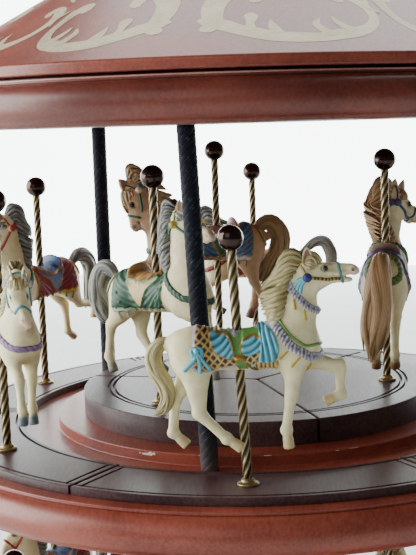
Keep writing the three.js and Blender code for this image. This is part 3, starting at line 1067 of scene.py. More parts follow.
class RingRepeat(NodeGroup):
    """Copies of one mesh turned evenly round the upright axis."""

    def __init__(self) -> None:
        """Build the tree."""
        sizes = {"Copies": ("NodeSocketInt", 6), "Material": ("NodeSocketMaterial", 0.0)}
        super().__init__("RingRepeat", sizes)
        copies = self.size("Copies")
        spots = self.value("GeometryNodeMeshLine", {"Count": copies, "Offset": (0.0, 0.0, 0.0)})
        turn = self.value("GeometryNodeInputIndex") * (2 * math.pi) / copies
        inputs = {
            "Points": spots,
            "Instance": self.entry.outputs["Geometry"],
            "Rotation": self.value("ShaderNodeCombineXYZ", {2: turn}),
        }
        self.finish(self.value("GeometryNodeInstanceOnPoints", inputs))


def placed_mesh(mesh: bpy.types.Mesh, name: str, matrix: Matrix) -> bpy.types.Object:
    """Make an object at the origin from a mesh in metres, with its place in the mesh."""
    mesh.transform(matrix)
    return linked(name, mesh)


def leaning(lean: float) -> Matrix:
    """Give the matrix that slides a shape along x as it rises, which keeps its ends level."""
    matrix = Matrix.Identity(4)
    matrix[0][2] = lean
    return matrix


@dataclass
class Posts:
    """The six rope-turned posts between the boards."""

    plan: Plan
    finishes: Finishes
    rod: TwistedRod
    strands: float = 6.0
    pitch: float = 30.0

    def build(self) -> None:
        """Build every post and stand it in place."""
        plan = self.plan
        for storey in Storey:
            for index, angle in enumerate(plan.post_angles):
                turn = math.radians(angle)
                lean = plan.front_post_lean if storey is Storey.UPPER and index == 0 else 0.0
                name = f"{storey.value}_post_rope_{index + 1}"
                mesh = self.rod.run(
                    name,
                    {
                        "Radius": plan.post_radius * MM,
                        "Lobe Depth": 0.06,
                        "Lobe Sharpness": 0.2,
                        "Lobes": self.strands,
                        "Sides": 120,
                        "Rows": 100,
                        "Height": (plan.storey - 0.1) * MM,
                        "Bottom": 0.05 * MM,
                        "Pitch": self.pitch * MM,
                        "Pale Foot": 26 * MM,
                        "Material": self.finishes.post,
                    },
                )
                mesh.transform(leaning(lean))
                x, y = plan.post_circle * math.cos(turn), plan.post_circle * math.sin(turn)
                spot = Matrix.Translation((x * MM, y * MM, plan.board_top(storey) * MM))
                piece = placed_mesh(mesh, name, spot)
                settle(piece, self.finishes.post, [f"{storey.value}_post_{index + 1}"])
        LOG.info("posts turned")


class Pose(Enum):
    """The modelled gaits of the horses."""

    STRIDE = "stride"
    TROT = "trot"
    REAR = "rear"
    LEAP = "leap"
    PRANCE = "prance"
    BOW = "bow"
    GALLOP = "gallop"


@dataclass(frozen=True)
class Stand:
    """Where a horse's pole stands on each deck."""

    row: Row
    number: int
    angle: float
    pose: Pose
    ball: float
    lean: float = 0.0
    girth: float = 1.1

    @property
    def label(self) -> str:
        """Name the stand."""
        return f"{self.row.value}_{self.number}"

    def foot(self, plan: Plan, storey: Storey) -> Matrix:
        """Give the pole foot's place in millimetres, turned to the horse's heading."""
        turn = math.radians(self.angle)
        outer = self.row is Row.OUTER
        reach = plan.outer_circle if outer else plan.inner_circle
        rise = plan.ring_height if outer else plan.tier_height + plan.plinth_height
        height = plan.board_top(storey) + rise
        spot = Matrix.Translation((reach * math.cos(turn), reach * math.sin(turn), height))
        return spot @ Matrix.Rotation(turn + math.pi / 2, 4, "Z")


STANDS = (
    Stand(Row.OUTER, 1, -92, Pose.STRIDE, 123.5, -0.043, 1.03),
    Stand(Row.OUTER, 2, -31, Pose.GALLOP, 140.0),
    Stand(Row.OUTER, 3, 29, Pose.TROT, 140.0),
    Stand(Row.OUTER, 4, 90, Pose.GALLOP, 142.0),
    Stand(Row.OUTER, 5, 152, Pose.LEAP, 139.0),
    Stand(Row.OUTER, 6, -146.5, Pose.PRANCE, 140.0),
    Stand(Row.INNER, 1, -8.5, Pose.REAR, 138.0),
    Stand(Row.INNER, 2, 108, Pose.BOW, 144.5),
    Stand(Row.INNER, 3, -134, Pose.TROT, 133.5),
)


@dataclass
class Poles:
    """The twisted brass poles with their flanges and dark balls."""

    plan: Plan
    finishes: Finishes
    rod: TwistedRod
    flange: float = 5.6
    ridges: float = 5.0
    pitch: float = 34.0

    def fittings(self, ball: float, girth: float) -> Surface:
        """Turn the flange foot and the ball of one pole."""
        radius = self.plan.pole_radius * girth
        foot = [
            (0.0, 0.02), (self.flange, 0.02), (self.flange, 0.9), (self.flange - 0.7, 1.3),
            (self.flange - 1.6, 1.5), (radius + 1.1, 1.9), (radius + 0.9, 2.6), (radius + 0.2, 3.3),
            (radius - 0.4, 3.5), (0.0, 3.5),
        ]
        plate = turned(rounded(foot, 0.25, 2), 36)
        plate.colours = coated((0.75, 0.0, 0.0, 1.0), len(plate.points))
        reach = self.plan.ball_radius * girth
        orb = globe(reach, ball, 20, 36)
        shine = np.clip((orb.points[:, 2] - ball) / reach, 0, 1) ** 3
        orb.colours = np.column_stack([0.2 + 0.2 * shine, shine * 0 + 1, shine * 0, shine * 0 + 1])
        return joined([plate, orb])

    def build(self) -> None:
        """Build and stand every pole on both decks."""
        plan = self.plan
        for stand in STANDS:
            shaft = self.rod.run(
                f"shaft_{stand.label}",
                {
                    "Radius": plan.pole_radius * 1.04 * MM,
                    "Lobe Depth": 0.17,
                    "Lobe Sharpness": 0.9,
                    "Lobes": self.ridges,
                    "Sides": 40,
                    "Rows": 130,
                    "Height": (stand.ball - plan.ball_radius - 2.0) * MM,
                    "Bottom": 2.4 * MM,
                    "Pitch": self.pitch * MM,
                    "Pale Foot": 0.0,
                    "Material": self.finishes.brass,
                },
            )
            for storey in Storey:
                name = f"{storey.value}_{stand.row.value}_pole_{stand.number}"
                foot = stand.foot(plan, storey)
                small = Matrix.Translation(foot.translation * MM) @ foot.to_3x3().to_4x4()
                piece = placed_mesh(shaft.copy(), name + "_shaft", small @ leaning(stand.lean))
                settle(piece, self.finishes.brass, [name] if storey is Storey.UPPER else [])
                ends = self.fittings(stand.ball, stand.girth).moved(foot @ leaning(stand.lean))
                piece = write_mesh(name + "_fittings", ends, 40)
                settle(piece, self.finishes.brass)
            bpy.data.meshes.remove(shaft)
        LOG.info("poles twisted and fitted")


# Sculpting


Field = Callable[[Array], Array]


def soft_min(first: Array, second: Array, reach: float) -> Array:
    """Join two distances with a fillet of about the reach."""
    near = np.maximum(reach - np.abs(first - second), 0) / reach
    return np.minimum(first, second) - near * near * reach / 4


def soft_max(first: Array, second: Array, reach: float) -> Array:
    """Cut one distance by another with a softened edge."""
    return -soft_min(-first, -second, reach)


def unit(vectors: Array) -> Array:
    """Scale vectors to length one."""
    return vectors / np.maximum(np.linalg.norm(vectors, axis=-1, keepdims=True), 1e-9)


def curve(points: Sequence[Sequence[float]], count: int) -> Array:
    """Run a smooth curve through points of any width.

    Args:
        points: One point to a line.
        count: Samples along the whole curve.

    Returns:
        The samples, evenly spread over the spans.
    """
    keys = np.array(points, float)
    keys = np.vstack([2 * keys[0] - keys[1], keys, 2 * keys[-1] - keys[-2]])
    t = np.linspace(0, len(keys) - 3, count)
    i = np.minimum(t.astype(int), len(keys) - 4)
    f = (t - i)[:, None]
    a, b, c, d = (keys[i + k] for k in range(4))
    return 0.5 * (2 * b + (c - a) * f + (2 * a - 5 * b + 4 * c - d) * f**2 + (3 * b - a - 3 * c + d) * f**3)


def bearing(degrees: float) -> Array:
    """Give the direction at an angle above straight ahead, in the horse's upright plane."""
    turn = math.radians(degrees)
    return np.array([math.cos(turn), 0.0, math.sin(turn)])


@dataclass(frozen=True)
class Limb:
    """A tapered, round-ended bar that can be thinned sideways."""

    start: Array
    end: Array
    first: float
    last: float
    squash: float = 1.0

    def __call__(self, p: Array) -> Array:
        """Give the distance of each point."""
        scale = np.array([1, 1 / self.squash, 1])
        q = (p - self.start) * scale
        axis = (np.array(self.end) - self.start) * scale
        t = np.clip(q @ axis / (axis @ axis), 0, 1)
        return np.linalg.norm(q - t[:, None] * axis, axis=1) - (self.first + (self.last - self.first) * t)

    def box(self) -> tuple[Array, Array]:
        """Give its box."""
        size = max(self.first, self.last)
        return np.minimum(self.start, self.end) - size, np.maximum(self.start, self.end) + size


@dataclass(frozen=True)
class Lump:
    """An ellipsoid, turned in the horse's upright plane."""

    centre: Array
    radii: Triple
    turn: float = 0.0

    def __call__(self, p: Array) -> Array:
        """Give the distance of each point."""
        q = p - np.array(self.centre)
        c, s = math.cos(math.radians(self.turn)), math.sin(math.radians(self.turn))
        local = np.stack([q[:, 0] * c + q[:, 2] * s, q[:, 1], q[:, 2] * c - q[:, 0] * s], -1)
        radii = np.array(self.radii)
        near = np.linalg.norm(local / radii, axis=1)
        slope = np.linalg.norm(local / radii**2, axis=1)
        return near * (near - 1) / np.maximum(slope, 1e-6)

    def box(self) -> tuple[Array, Array]:
        """Give its box."""
        size = max(self.radii)
        return np.array(self.centre) - size, np.array(self.centre) + size


@dataclass(frozen=True)
class Hoof:
    """A short flared cone with a flat sole."""

    top: Array
    along: Array
    length: float
    first: float
    last: float

    def __call__(self, p: Array) -> Array:
        """Give the distance of each point."""
        q = p - self.top
        t = q @ self.along
        off = np.linalg.norm(q - t[:, None] * self.along, axis=1)
        side = off - (self.first + (self.last - self.first) * t / self.length)
        return soft_max(side, np.abs(t - self.length / 2) - self.length / 2, 0.7)

    def box(self) -> tuple[Array, Array]:
        """Give its box."""
        tip = self.top + self.along * self.length
        return np.minimum(self.top, tip) - self.last - 1, np.maximum(self.top, tip) + self.last + 1


@dataclass
class Mass:
    """A group of shapes melted together, then joined to the rest of the figure."""

    shapes: list
    melt: float
    join: float

    def __post_init__(self) -> None:
        """Find the box outside which the group has no say."""
        boxes = [shape.box() for shape in self.shapes]
        self.low = np.min([b[0] for b in boxes], axis=0) - 6
        self.high = np.max([b[1] for b in boxes], axis=0) + 6

    def __call__(self, p: Array) -> Array:
        """Give the distance of each point."""
        out = self.shapes[0](p)
        for shape in self.shapes[1:]:
            out = soft_min(out, shape(p), self.melt)
        return out


def skin(field_of: Field, low: Array, high: Array, step: float) -> tuple[Array, Array]:
    """Mesh the zero level of a field with surface nets.

    Args:
        field_of: The field, negative inside.
        low: Corner of the box to mesh.
        high: The opposite corner.
        step: Size of a cell.

    Returns:
        The vertices and the quads.
    """
    axes = [np.arange(a, b + step, step) for a, b in zip(low, high)]
    shape = tuple(len(a) for a in axes)
    spots = np.stack(np.meshgrid(*axes, indexing="ij"), -1).reshape(-1, 3)
    values = np.concatenate([field_of(block) for block in np.array_split(spots, 12)]).reshape(shape)
    inside = values < 0
    cells = tuple(n - 1 for n in shape)
    total = np.zeros(cells + (3,))
    crossings = np.zeros(cells)
    for axis in range(3):
        others = [k for k in range(3) if k != axis]
        for u in (0, 1):
            for v in (0, 1):
                offset = [0, 0, 0]
                offset[others[0]], offset[others[1]] = u, v
                near = tuple(slice(offset[k], offset[k] + cells[k]) for k in range(3))
                offset[axis] = 1
                far = tuple(slice(offset[k], offset[k] + cells[k]) for k in range(3))
                a, b = values[near], values[far]
                cut = (a < 0) != (b < 0)
                t = np.where(cut, a / np.where(cut, a - b, 1), 0)
                crossings += cut
                total[..., axis] += t
                total[..., others[0]] += np.where(cut, u, 0)
                total[..., others[1]] += np.where(cut, v, 0)
    used = crossings > 0
    number = np.full(cells, -1)
    number[used] = np.arange(used.sum())
    base = np.argwhere(used)
    points = low + (base + total[used] / crossings[used][:, None]) * step
    quads = []
    for axis in range(3):
        b, c = (axis + 1) % 3, (axis + 2) % 3
        near = [slice(None)] * 3
        far = [slice(None)] * 3
        near[axis], far[axis] = slice(0, -1), slice(1, None)
        start, end = inside[tuple(near)], inside[tuple(far)]
        edge = np.argwhere(start != end)
        edge = edge[(edge[:, b] > 0) & (edge[:, c] > 0) & (edge[:, b] < cells[b]) & (edge[:, c] < cells[c])]
        out = start[tuple(edge.T)]
        ring = []
        for u, v in ((1, 1), (0, 1), (0, 0), (1, 0)):
            cell = edge.copy()
            cell[:, b] -= u
            cell[:, c] -= v
            ring.append(number[tuple(cell.T)])
        face = np.stack(ring, -1)
        quads.append(np.where(out[:, None], face, face[:, ::-1]))
    return points, np.vstack(quads)


def facing_out(surface: Surface) -> Surface:
    """Turn the faces of a closed surface outwards."""
    volume = 0.0
    p = surface.points
    for block in surface.faces:
        for k in range(1, block.shape[1] - 1):
            a, b, c = p[block[:, 0]], p[block[:, k]], p[block[:, k + 1]]
            volume += float(np.einsum("ij,ij->i", a, np.cross(b, c)).sum())
    if volume < 0:
        surface.faces = [block[:, ::-1] for block in surface.faces]
    return surface


@dataclass(frozen=True)
class Gait:
    """How a horse stands: leg bones' angles forward of straight down, and lengths where they differ."""

    lift: float
    pitch: float
    neck: float
    head: float
    fore_out: tuple[float, ...]
    fore_in: tuple[float, ...]
    hind_out: tuple[float, ...]
    hind_in: tuple[float, ...]
    size: float = 1.0
    gape: float = 0.8
    tall: float = 1.0
    look: float = 0.0
    shift: float = 0.0
    grain: float = 1.45


GAITS = {
    Pose.STRIDE: Gait(69, 0, 75, 1, (-8, -11, 3, 18.7, 16.8, 7.5), (71, 0, -68, 23.5, 13.5, 9.4),
                      (3, 43, 52, 23.4, 18, 8), (-33, -7, 43, 21.3, 17.1, 9), gape=3.1, grain=0.92),
    Pose.TROT: Gait(66, 4, 92, -22, (66, -20, -60), (20, 10, 0), (-48, -14, 20), (0, 38, 50), size=1.07,
                    tall=1.08),
    Pose.REAR: Gait(70, 3, 78, -35, (60, -25, -60), (42, -20, -40), (-24, 10, 30), (2, 8, 24), size=1.15,
                    look=-52),
    Pose.LEAP: Gait(72, -3, 84, -48, (72, -35, -75), (50, -45, -85), (-30, -2, -50), (-40, -76, 8), size=1.06,
                    tall=1.2, look=-26),
    Pose.PRANCE: Gait(66, 3, 80, -60, (30, 2, 0), (-2, -4, 6), (-30, 2, 22), (14, -24, -8), tall=0.86,
                      look=-20),
    Pose.BOW: Gait(80, 3, 51, -92, (58, -50, -85), (28, -40, -70), (-34, 4, 20), (-16, -30, -45), size=1.12,
                   tall=1.2, shift=4),
    Pose.GALLOP: Gait(70, 2, 62, -25, (60, 10, 8), (40, -32, -60), (-56, -24, -60), (-40, -12, -12)),
}


@dataclass(frozen=True)
class Coat:
    """The colours of a horse's bare parts."""

    body: str = "efe6b6"
    # shade is the colour of the painted shade in the hollows, and of the darkening towards the bottom of the
    # legs.
    shade: str = "b79f72"
    muzzle: str = "dcc3ac"
    hoof: str = "cfba86"
    mane: str = "cfc083"
    # mane_dark is the hair's painted shade and mane_light its painted highlight.
    mane_dark: str = "7d6c3c"
    mane_light: str = "e9deac"


class Figure:
    """The sculpted body of one horse, in the frame of its trunk's centre."""

    elbow = np.array([27.0, 0.0, -6.0])
    stifle = np.array([-22.0, 0.0, -7.0])
    fore_bones = (17.5, 15.5, 9.5)
    hind_bones = (17.5, 18.0, 9.5)

    def __init__(self, gait: Gait) -> None:
        """Lay out the shapes for a gait."""
        self.gait = gait
        self.rise = bearing(gait.neck)
        self.back = np.array([-self.rise[2], 0.0, self.rise[0]])
        self.root = np.array([25.0, 0.0, 3.0])
        self.poll = self.root + self.rise * 34 * gait.tall
        self.along = bearing(gait.head)
        self.over = np.array([-self.along[2], 0.0, self.along[0]])
        self.hooves: list[Hoof] = []
        self.masses = [self._trunk(), self._neck(), self._head()]
        self.masses += self._legs()
        self.hollows = self._hollows()
        self.feet = Mass(list(self.hooves), 0.2, 0.8)

    def face(self, s: float, n: float, y: float = 0.0) -> Array:
        """Give a point of the head from its distance ahead of the poll and above the face's axis."""
        return self.poll + self.along * s + self.over * n + np.array([0.0, y, 0.0])

    def crest(self, t: float, out: float = 0.0, y: float = 0.0) -> Array:
        """Give a point along the top of the neck, with 0 at the withers and 1 at the poll."""
        bulge = 8.6 - 1.6 * t + 1.2 * math.sin(math.pi * t)
        high = (6 + 29 * t) * self.gait.tall
        return self.root + self.rise * high + self.back * (bulge + out) + np.array([0.0, y, 0.0])

    def glance(self, made: Surface) -> Surface:
        """Turn the head and the neck aside, as far as the gait looks."""
        off = made.points - self.root
        front = np.clip((made.points[:, 0] - 8) / 8, 0, 1)
        high = np.clip((off @ self.rise - 3) / (26 * self.gait.tall), 0, 1) * front
        turn = math.radians(self.gait.look) * high**2 * (3 - 2 * high)
        c, s = np.cos(turn), np.sin(turn)
        x, y = off[:, 0] - 4, off[:, 1]
        points = np.stack([x * c - y * s + 4, x * s + y * c, off[:, 2]], -1) + self.root
        return Surface(points, made.faces, made.colours, made.grain)

    def _trunk(self) -> Mass:
        """Shape the trunk with its shoulders and haunches."""
        shapes = [
            Limb(np.array([-14.0, 0, -0.9]), np.array([14.0, 0, -1.3]), 9.4, 9.4, 0.96),
            Lump(np.array([-22.0, 0, 1.5]), (12.5, 9.3, 11)),
            Lump(np.array([24.0, 0, 0]), (13.5, 9.2, 12.2)),
            Limb(np.array([11.5, 0, 3.0]), np.array([22.0, 0, 6.4]), 5.0, 5.6, 0.8),
            Lump(np.array([31.0, 0, -1.0]), (8.2, 7.6, 8.4)),
            Limb(np.array([-30.0, 0, 5.0]), np.array([-36.5, 0, 4.4]), 4.2, 2.6),
        ]
        for side in (-1, 1):
            shapes.append(Lump(np.array([22.5, 5.4 * side, -0.5]), (6.5, 4.4, 11.5), 20))
            shapes.append(Lump(np.array([-23.5, 5.2 * side, -1.5]), (9.5, 4.8, 10.5), -25))
            shapes.append(Lump(np.array([34.0, 3.4 * side, -3.5]), (4.6, 3.6, 5.2)))
        return Mass(shapes, 4.0, 4.0)

    def _neck(self) -> Mass:
        """Shape the neck."""
        r, up, back = self.root, self.rise * self.gait.tall, self.back
        shapes = [
            Limb(r + up * 1.5 - back * 1.5, r + up * 16 - back * 0.8, 11.0, 8.9, 0.7),
            Limb(r + up * 16 - back * 1.2, r + up * 29 - back * 0.8, 9.1, 7.1, 0.62),
            Limb(r + up * 29 - back * 0.6, r + up * 34 + back * 0.2, 6.9, 5.8, 0.66),
            Limb(self.crest(0.05, -3.6), self.crest(0.9, -3.2), 3.4, 3.0, 0.7),
        ]
        return Mass(shapes, 4.0, 7.0)

    def _head(self) -> Mass:
        """Shape the skull, the jaws and the muzzle."""
        f = self.face
        gape = self.gait.gape
        shapes = [
            Lump(f(5.5, -2.0), (7.8, 4.5, 6.3), self.gait.head),
            Lump(f(8.0, -4.4), (5.8, 3.9, 4.6), self.gait.head),
            Limb(f(7.0, -1.2), f(22.8, -0.9), 4.9, 2.45, 0.74),
            Limb(f(13.0, 0.9), f(22.5, 0.2), 2.3, 1.7, 0.9),
            Lump(f(24.4, -1.1), (2.9, 2.6, 2.35), self.gait.head - 8),
            Lump(f(25.7, -2.2), (1.6, 1.9, 1.2), self.gait.head),
            Limb(f(11.0, -4.5 - 0.1 * gape), f(21.2, -4.1 - gape * 0.5), 2.4, 1.1, 0.9),
            Lump(f(22.3, -4.2 - gape * 0.5), (1.8, 1.6, 1.0), self.gait.head),
        ]
        for side in (-1, 1):
            shapes.append(Lump(f(10.4, 2.3, 2.9 * side), (2.6, 1.3, 1.1), self.gait.head))
            shapes.append(Lump(f(24.3, -0.2, 1.9 * side), (1.6, 1.0, 1.2), self.gait.head))
            shapes.append(Limb(f(13.0, -1.4, 3.2 * side), f(19.0, -2.0, 2.4 * side), 0.9, 0.7))
        return Mass(shapes, 1.7, 4.5)

    def _leg(self, joint: Array, side: int, angles: tuple, bones: tuple, fore: bool) -> Mass:
        """Shape one leg down to the pastern and note its hoof."""
        spots = [joint + np.array([0.0, 6.0 * side, 0.0])]
        for angle, length, drift in zip(angles, angles[3:] or bones, (-0.5, -0.4, 0.0)):
            turn = math.radians(angle)
            step = np.array([math.sin(turn) * length, drift * side, -math.cos(turn) * length])
            spots.append(spots[-1] + step)
        top, knee, fetlock, sole = spots
        down, shin, tip = unit(knee - top), unit(fetlock - knee), unit(sole - fetlock)
        ahead = np.array([-shin[2], 0.0, shin[0]])
        if fore:
            shapes = [
                Limb(top, knee, 5.4, 2.9, 0.86),
                Lump(top + down * 4.5 + np.array([0.6, 0, 0]), (4.4, 3.9, 6.8)),
                Limb(knee - shin * 1.6, knee + shin * 1.8, 3.1, 2.8, 0.92),
                Limb(knee, fetlock, 2.35, 2.05, 0.92),
                Limb(knee + shin * 3 - ahead * 0.7, fetlock - ahead * 0.9, 1.5, 1.5),
            ]
        else:
            slant = math.degrees(math.atan2(down[0], -down[2]))
            shapes = [
                Limb(top, knee - down * 1.0, 7.6, 3.2, 0.8),
                Lump(top + down * 5.5 + np.array([1.0, 0, 0]), (5.4, 4.2, 7.6), slant),
                Limb(knee - shin * 1.2, knee + shin * 2.2, 3.1, 2.6, 0.88),
                Limb(knee - shin * 1.0 - ahead * 1.6, knee + shin * 4 - ahead * 1.0, 1.5, 1.3),
                Limb(knee, fetlock, 2.5, 2.15, 0.9),
                Limb(knee + shin * 4 - ahead * 0.7, fetlock - ahead * 1.0, 1.5, 1.5),
            ]
        shapes += [
            Lump(fetlock, (2.7, 2.45, 2.6)),
            Lump(fetlock - ahead * 1.2 + shin * 0.6, (1.7, 1.6, 1.7)),
            Limb(fetlock, fetlock + tip * 4.6, 2.15, 2.3, 0.95),
        ]
        self.hooves.append(Hoof(fetlock + tip * 4.0, tip, 5.3, 2.5, 2.85))
        return Mass(shapes, 1.6, 5.5)

    def _legs(self) -> list[Mass]:
        """Shape the four legs."""
        gait = self.gait
        return [
            self._leg(self.elbow, -1, gait.fore_out, self.fore_bones, True),
            self._leg(self.elbow, 1, gait.fore_in, self.fore_bones, True),
            self._leg(self.stifle, -1, gait.hind_out, self.hind_bones, False),
            self._leg(self.stifle, 1, gait.hind_in, self.hind_bones, False),
        ]

    def _hollows(self) -> list[tuple[Field, float]]:
        """Shape what is cut away: the mouth, nostrils and eye sockets."""
        f = self.face
        gape = self.gait.gape
        cuts: list[tuple[Field, float]] = []
        slit = 0.28 + gape * 0.30
        for side in (-1, 0, 1):
            lips = f(28.0, -3.8 - gape * 0.25, 2.4 * side)
            cuts.append((Limb(f(18.6, -3.6, 1.6 * side), lips, 0.25, slit), 0.25))
        for side in (-1, 1):
            cuts.append((Lump(f(24.6, -0.6, 2.5 * side), (1.0, 1.0, 0.7), self.gait.head + 35), 0.4))
            cuts.append((Lump(f(10.9, 1.0, 4.6 * side), (1.9, 1.1, 1.3), self.gait.head), 0.6))
            cuts.append((Limb(f(15.5, -4.4, 4.0 * side), f(20.0, -3.8, 3.0 * side), 0.5, 0.4), 0.8))
        return cuts

    def field(self, p: Array) -> Array:
        """Give the distance of each point to the body, hooves included."""
        out = np.full(len(p), 9.0)
        for mass in [*self.masses, self.feet]:
            near = np.all((p > mass.low) & (p < mass.high), axis=1)
            if near.any():
                out[near] = soft_min(out[near], mass(p[near]), mass.join)
        for cut, reach in self.hollows:
            low, high = cut.box()
            near = np.all((p > low - 3) & (p < high + 3), axis=1)
            if near.any():
                out[near] = soft_max(out[near], -cut(p[near]), reach)
        return out

    def slope(self, p: Array) -> Array:
        """Give the gradient of the field."""
        h = 0.2
        parts = []
        for axis in range(3):
            step = np.zeros(3)
            step[axis] = h
            parts.append((self.field(p + step) - self.field(p - step)) / (2 * h))
        return np.stack(parts, -1)

    def project(self, p: Array, rounds: int = 4, least: float = 0.05,
                stride: float = 2.5) -> tuple[Array, Array]:
        """Bring points onto the skin.

        Args:
            p: The points, near the skin.
            rounds: Newton steps.
            least: The smallest slope squared that a step divides by.
            stride: The longest step.

        Returns:
            The points on the skin and the outward normals.
        """
        for _ in range(rounds):
            grad = self.slope(p)
            size = np.maximum(np.einsum("ij,ij->i", grad, grad), least)
            move = np.clip(self.field(p) / size, -stride, stride)
            p = p - grad * move[:, None]
        return p, unit(self.slope(p))

    def body(self, coat: Coat) -> Surface:
        """Mesh the body and paint it."""
        masses = [*self.masses, self.feet]
        low = np.min([mass.low for mass in masses], axis=0) + 4.5
        high = np.max([mass.high for mass in masses], axis=0) - 4.5
        points, quads = skin(self.field, low, high, self.gait.grain)
        points, normals = self.project(points, 2, 0.1, 0.4)
        return facing_out(Surface(points, [quads], self._paint(points, normals, coat)))

    def _paint(self, p: Array, normals: Array, coat: Coat) -> Array:
        """Paint the skin: painted shade in the hollows, a darkening towards the bottom of the legs, the
        muzzle, mouth, eyes and hooves.
        """
        # Painted shade: the skin darkens where a hollow lies just outside it.
        depth = np.clip((1.8 - self.field(p + normals * 1.8)) / 1.8, 0, 1)
        colours = blend_paint(paint(coat.body), paint(coat.shade), depth * 1.5)
        # The skin darkens towards the bottom of the legs.
        low = np.clip((-p[:, 2] - 30) / 30, 0, 1) * 0.28
        colours = blend_paint(colours, paint(coat.shade), low)
        nose = np.linalg.norm((p - self.face(26.0, -2.6)) * [1, 0.8, 1], axis=1)
        colours = blend_paint(colours, paint(coat.muzzle), np.clip((6.5 - nose) / 3.5, 0, 0.85))
        for cut, _ in self.hollows:
            low, high = cut.box()
            near = np.all((p > low - 1) & (p < high + 1), axis=1)
            if not near.any():
                continue
            inside = np.clip((0.35 - cut(p[near])) / 0.5, 0, 1)
            tone = "7a3a34" if isinstance(cut, Limb) and cut.last > 0.45 else "8b5a4c"
            colours[near] = blend_paint(colours[near], paint(tone), inside * 0.8)
        for side in (-1, 1):
            gap = np.linalg.norm(p - self.face(10.9, 1.1, 4.1 * side), axis=1)
            colours = blend_paint(colours, paint("4a3626"), np.clip((2.2 - gap) / 0.5, 0, 0.8))
        return blend_paint(colours, paint(coat.hoof), (0.45 - self.feet(p)) / 0.4)

    def eyes(self) -> Surface:
        """Make the two painted eyeballs."""
        made = []
        for side in (-1, 1):
            ball = globe(1.35, 0.0, 9, 14)
            look = unit(ball.points) @ unit(np.array([0.35, side, 0.1]))
            ball.colours = blend_paint(paint("efe6d2"), paint("1a1310"), (look - 0.05) / 0.25)
            ball.points = ball.points + self.face(10.9, 1.05, 3.55 * side)
            made.append(ball)
        return joined(made)

    def ears(self, coat: Coat) -> Surface:
        """Make the two leaf-shaped ears."""
        made = []
        for side in (-1, 1):
            base = self.face(3.0, 1.4, 2.9 * side)
            tilt = unit(self.over - self.along * 0.02 + np.array([0.0, 0.2 * side, 1.2]))
            front = self.along * 0.2 + np.array([0.0, side, 0.0])
            front = unit(front - tilt * (front @ tilt))
            wide = unit(np.cross(tilt, front))
            rows, tones = [], []
            turns = np.linspace(0, 2 * np.pi, 12, endpoint=False)
            for t in np.linspace(0, 1, 10):
                half = 3.1 * (math.sin(math.pi * min(1, 0.3 + 0.7 * t)) ** 0.75) + 0.12
                across = np.cos(turns) * half
                thick = np.sin(turns) * half * 0.5
                scoop = np.where(np.sin(turns) > 0, -0.8 * np.sin(turns) * half, 0.0)
                depth = thick + scoop * (0.25 < t < 0.97)
                rows.append(base + tilt * (10.0 * t) + across[:, None] * wide + depth[:, None] * front)
                inner = (np.sin(turns) > 0.6) & (0.2 < t < 0.9)
                tones.append(np.where(inner[:, None], paint("8f6556"), paint(coat.body)))
            points = np.vstack([*rows, rows[0].mean(0), rows[-1].mean(0)])
            colours = np.vstack([*tones, paint(coat.body), paint(coat.body)])
            made.append(facing_out(Surface(points, tube_faces(len(rows), len(turns)), colours)))
        return joined(made)


def lock(path: Array, widths: Array, thick: Array, side: Array, colours: Array, shift: float = 0.0,
         sides: int = 6) -> Surface:
    """Make one lock of hair as a flat tapering tube.

    Args:
        path: Its middle line.
        widths: Half width at each station.
        thick: Half thickness at each station.
        side: Rough direction of the width, one for all or one to a station.
        colours: Paint at each station.
        shift: Added to the strand coordinate, so that locks differ.
        sides: Sides of the tube.

    Returns:
        A closed surface.
    """
    count = len(path)
    ahead = unit(np.gradient(path, axis=0))
    side = np.broadcast_to(side, path.shape)
    wide = unit(side - ahead * np.einsum("ij,ij->i", side, ahead)[:, None])
    flat = np.cross(ahead, wide)
    turns = np.linspace(0, 2 * np.pi, sides, endpoint=False)
    c, s = np.cos(turns), np.sin(turns)
    rows = (
        path[:, None]
        + wide[:, None] * (widths[:, None] * c)[..., None]
        + flat[:, None] * (thick[:, None] * s)[..., None]
    )
    ends = (path[:1] - ahead[:1] * thick[0] * 0.5, path[-1:] + ahead[-1:] * 0.4)
    tones = np.repeat(colours[:, None], sides, axis=1)
    # The lock's thin edges are painted darker than its faces: painted shade between locks.
    tones[..., :3] *= (0.55 + 0.45 * np.abs(s))[None, :, None]
    tones = np.vstack([tones.reshape(-1, 4), colours[:1], colours[-1:]])
    along = np.linspace(0, 1, count)
    grain = np.stack(np.broadcast_arrays(c[None] * 0.5 + shift, along[:, None] * 0.3), -1).reshape(-1, 2)
    grain = np.vstack([grain, [[shift, 0]], [[shift, 0.3]]])
    points = np.vstack([rows.reshape(-1, 3), *ends])
    return facing_out(Surface(points, tube_faces(count, sides), tones, grain))


# Tack


Tint = Callable[[Array, Array], Array]


def plain(hex_colour: str, metal: float = 0.0) -> Tint:
    """Give a tint that is one paint everywhere."""
    return lambda x, z: coated(paint(hex_colour, metal), len(x))


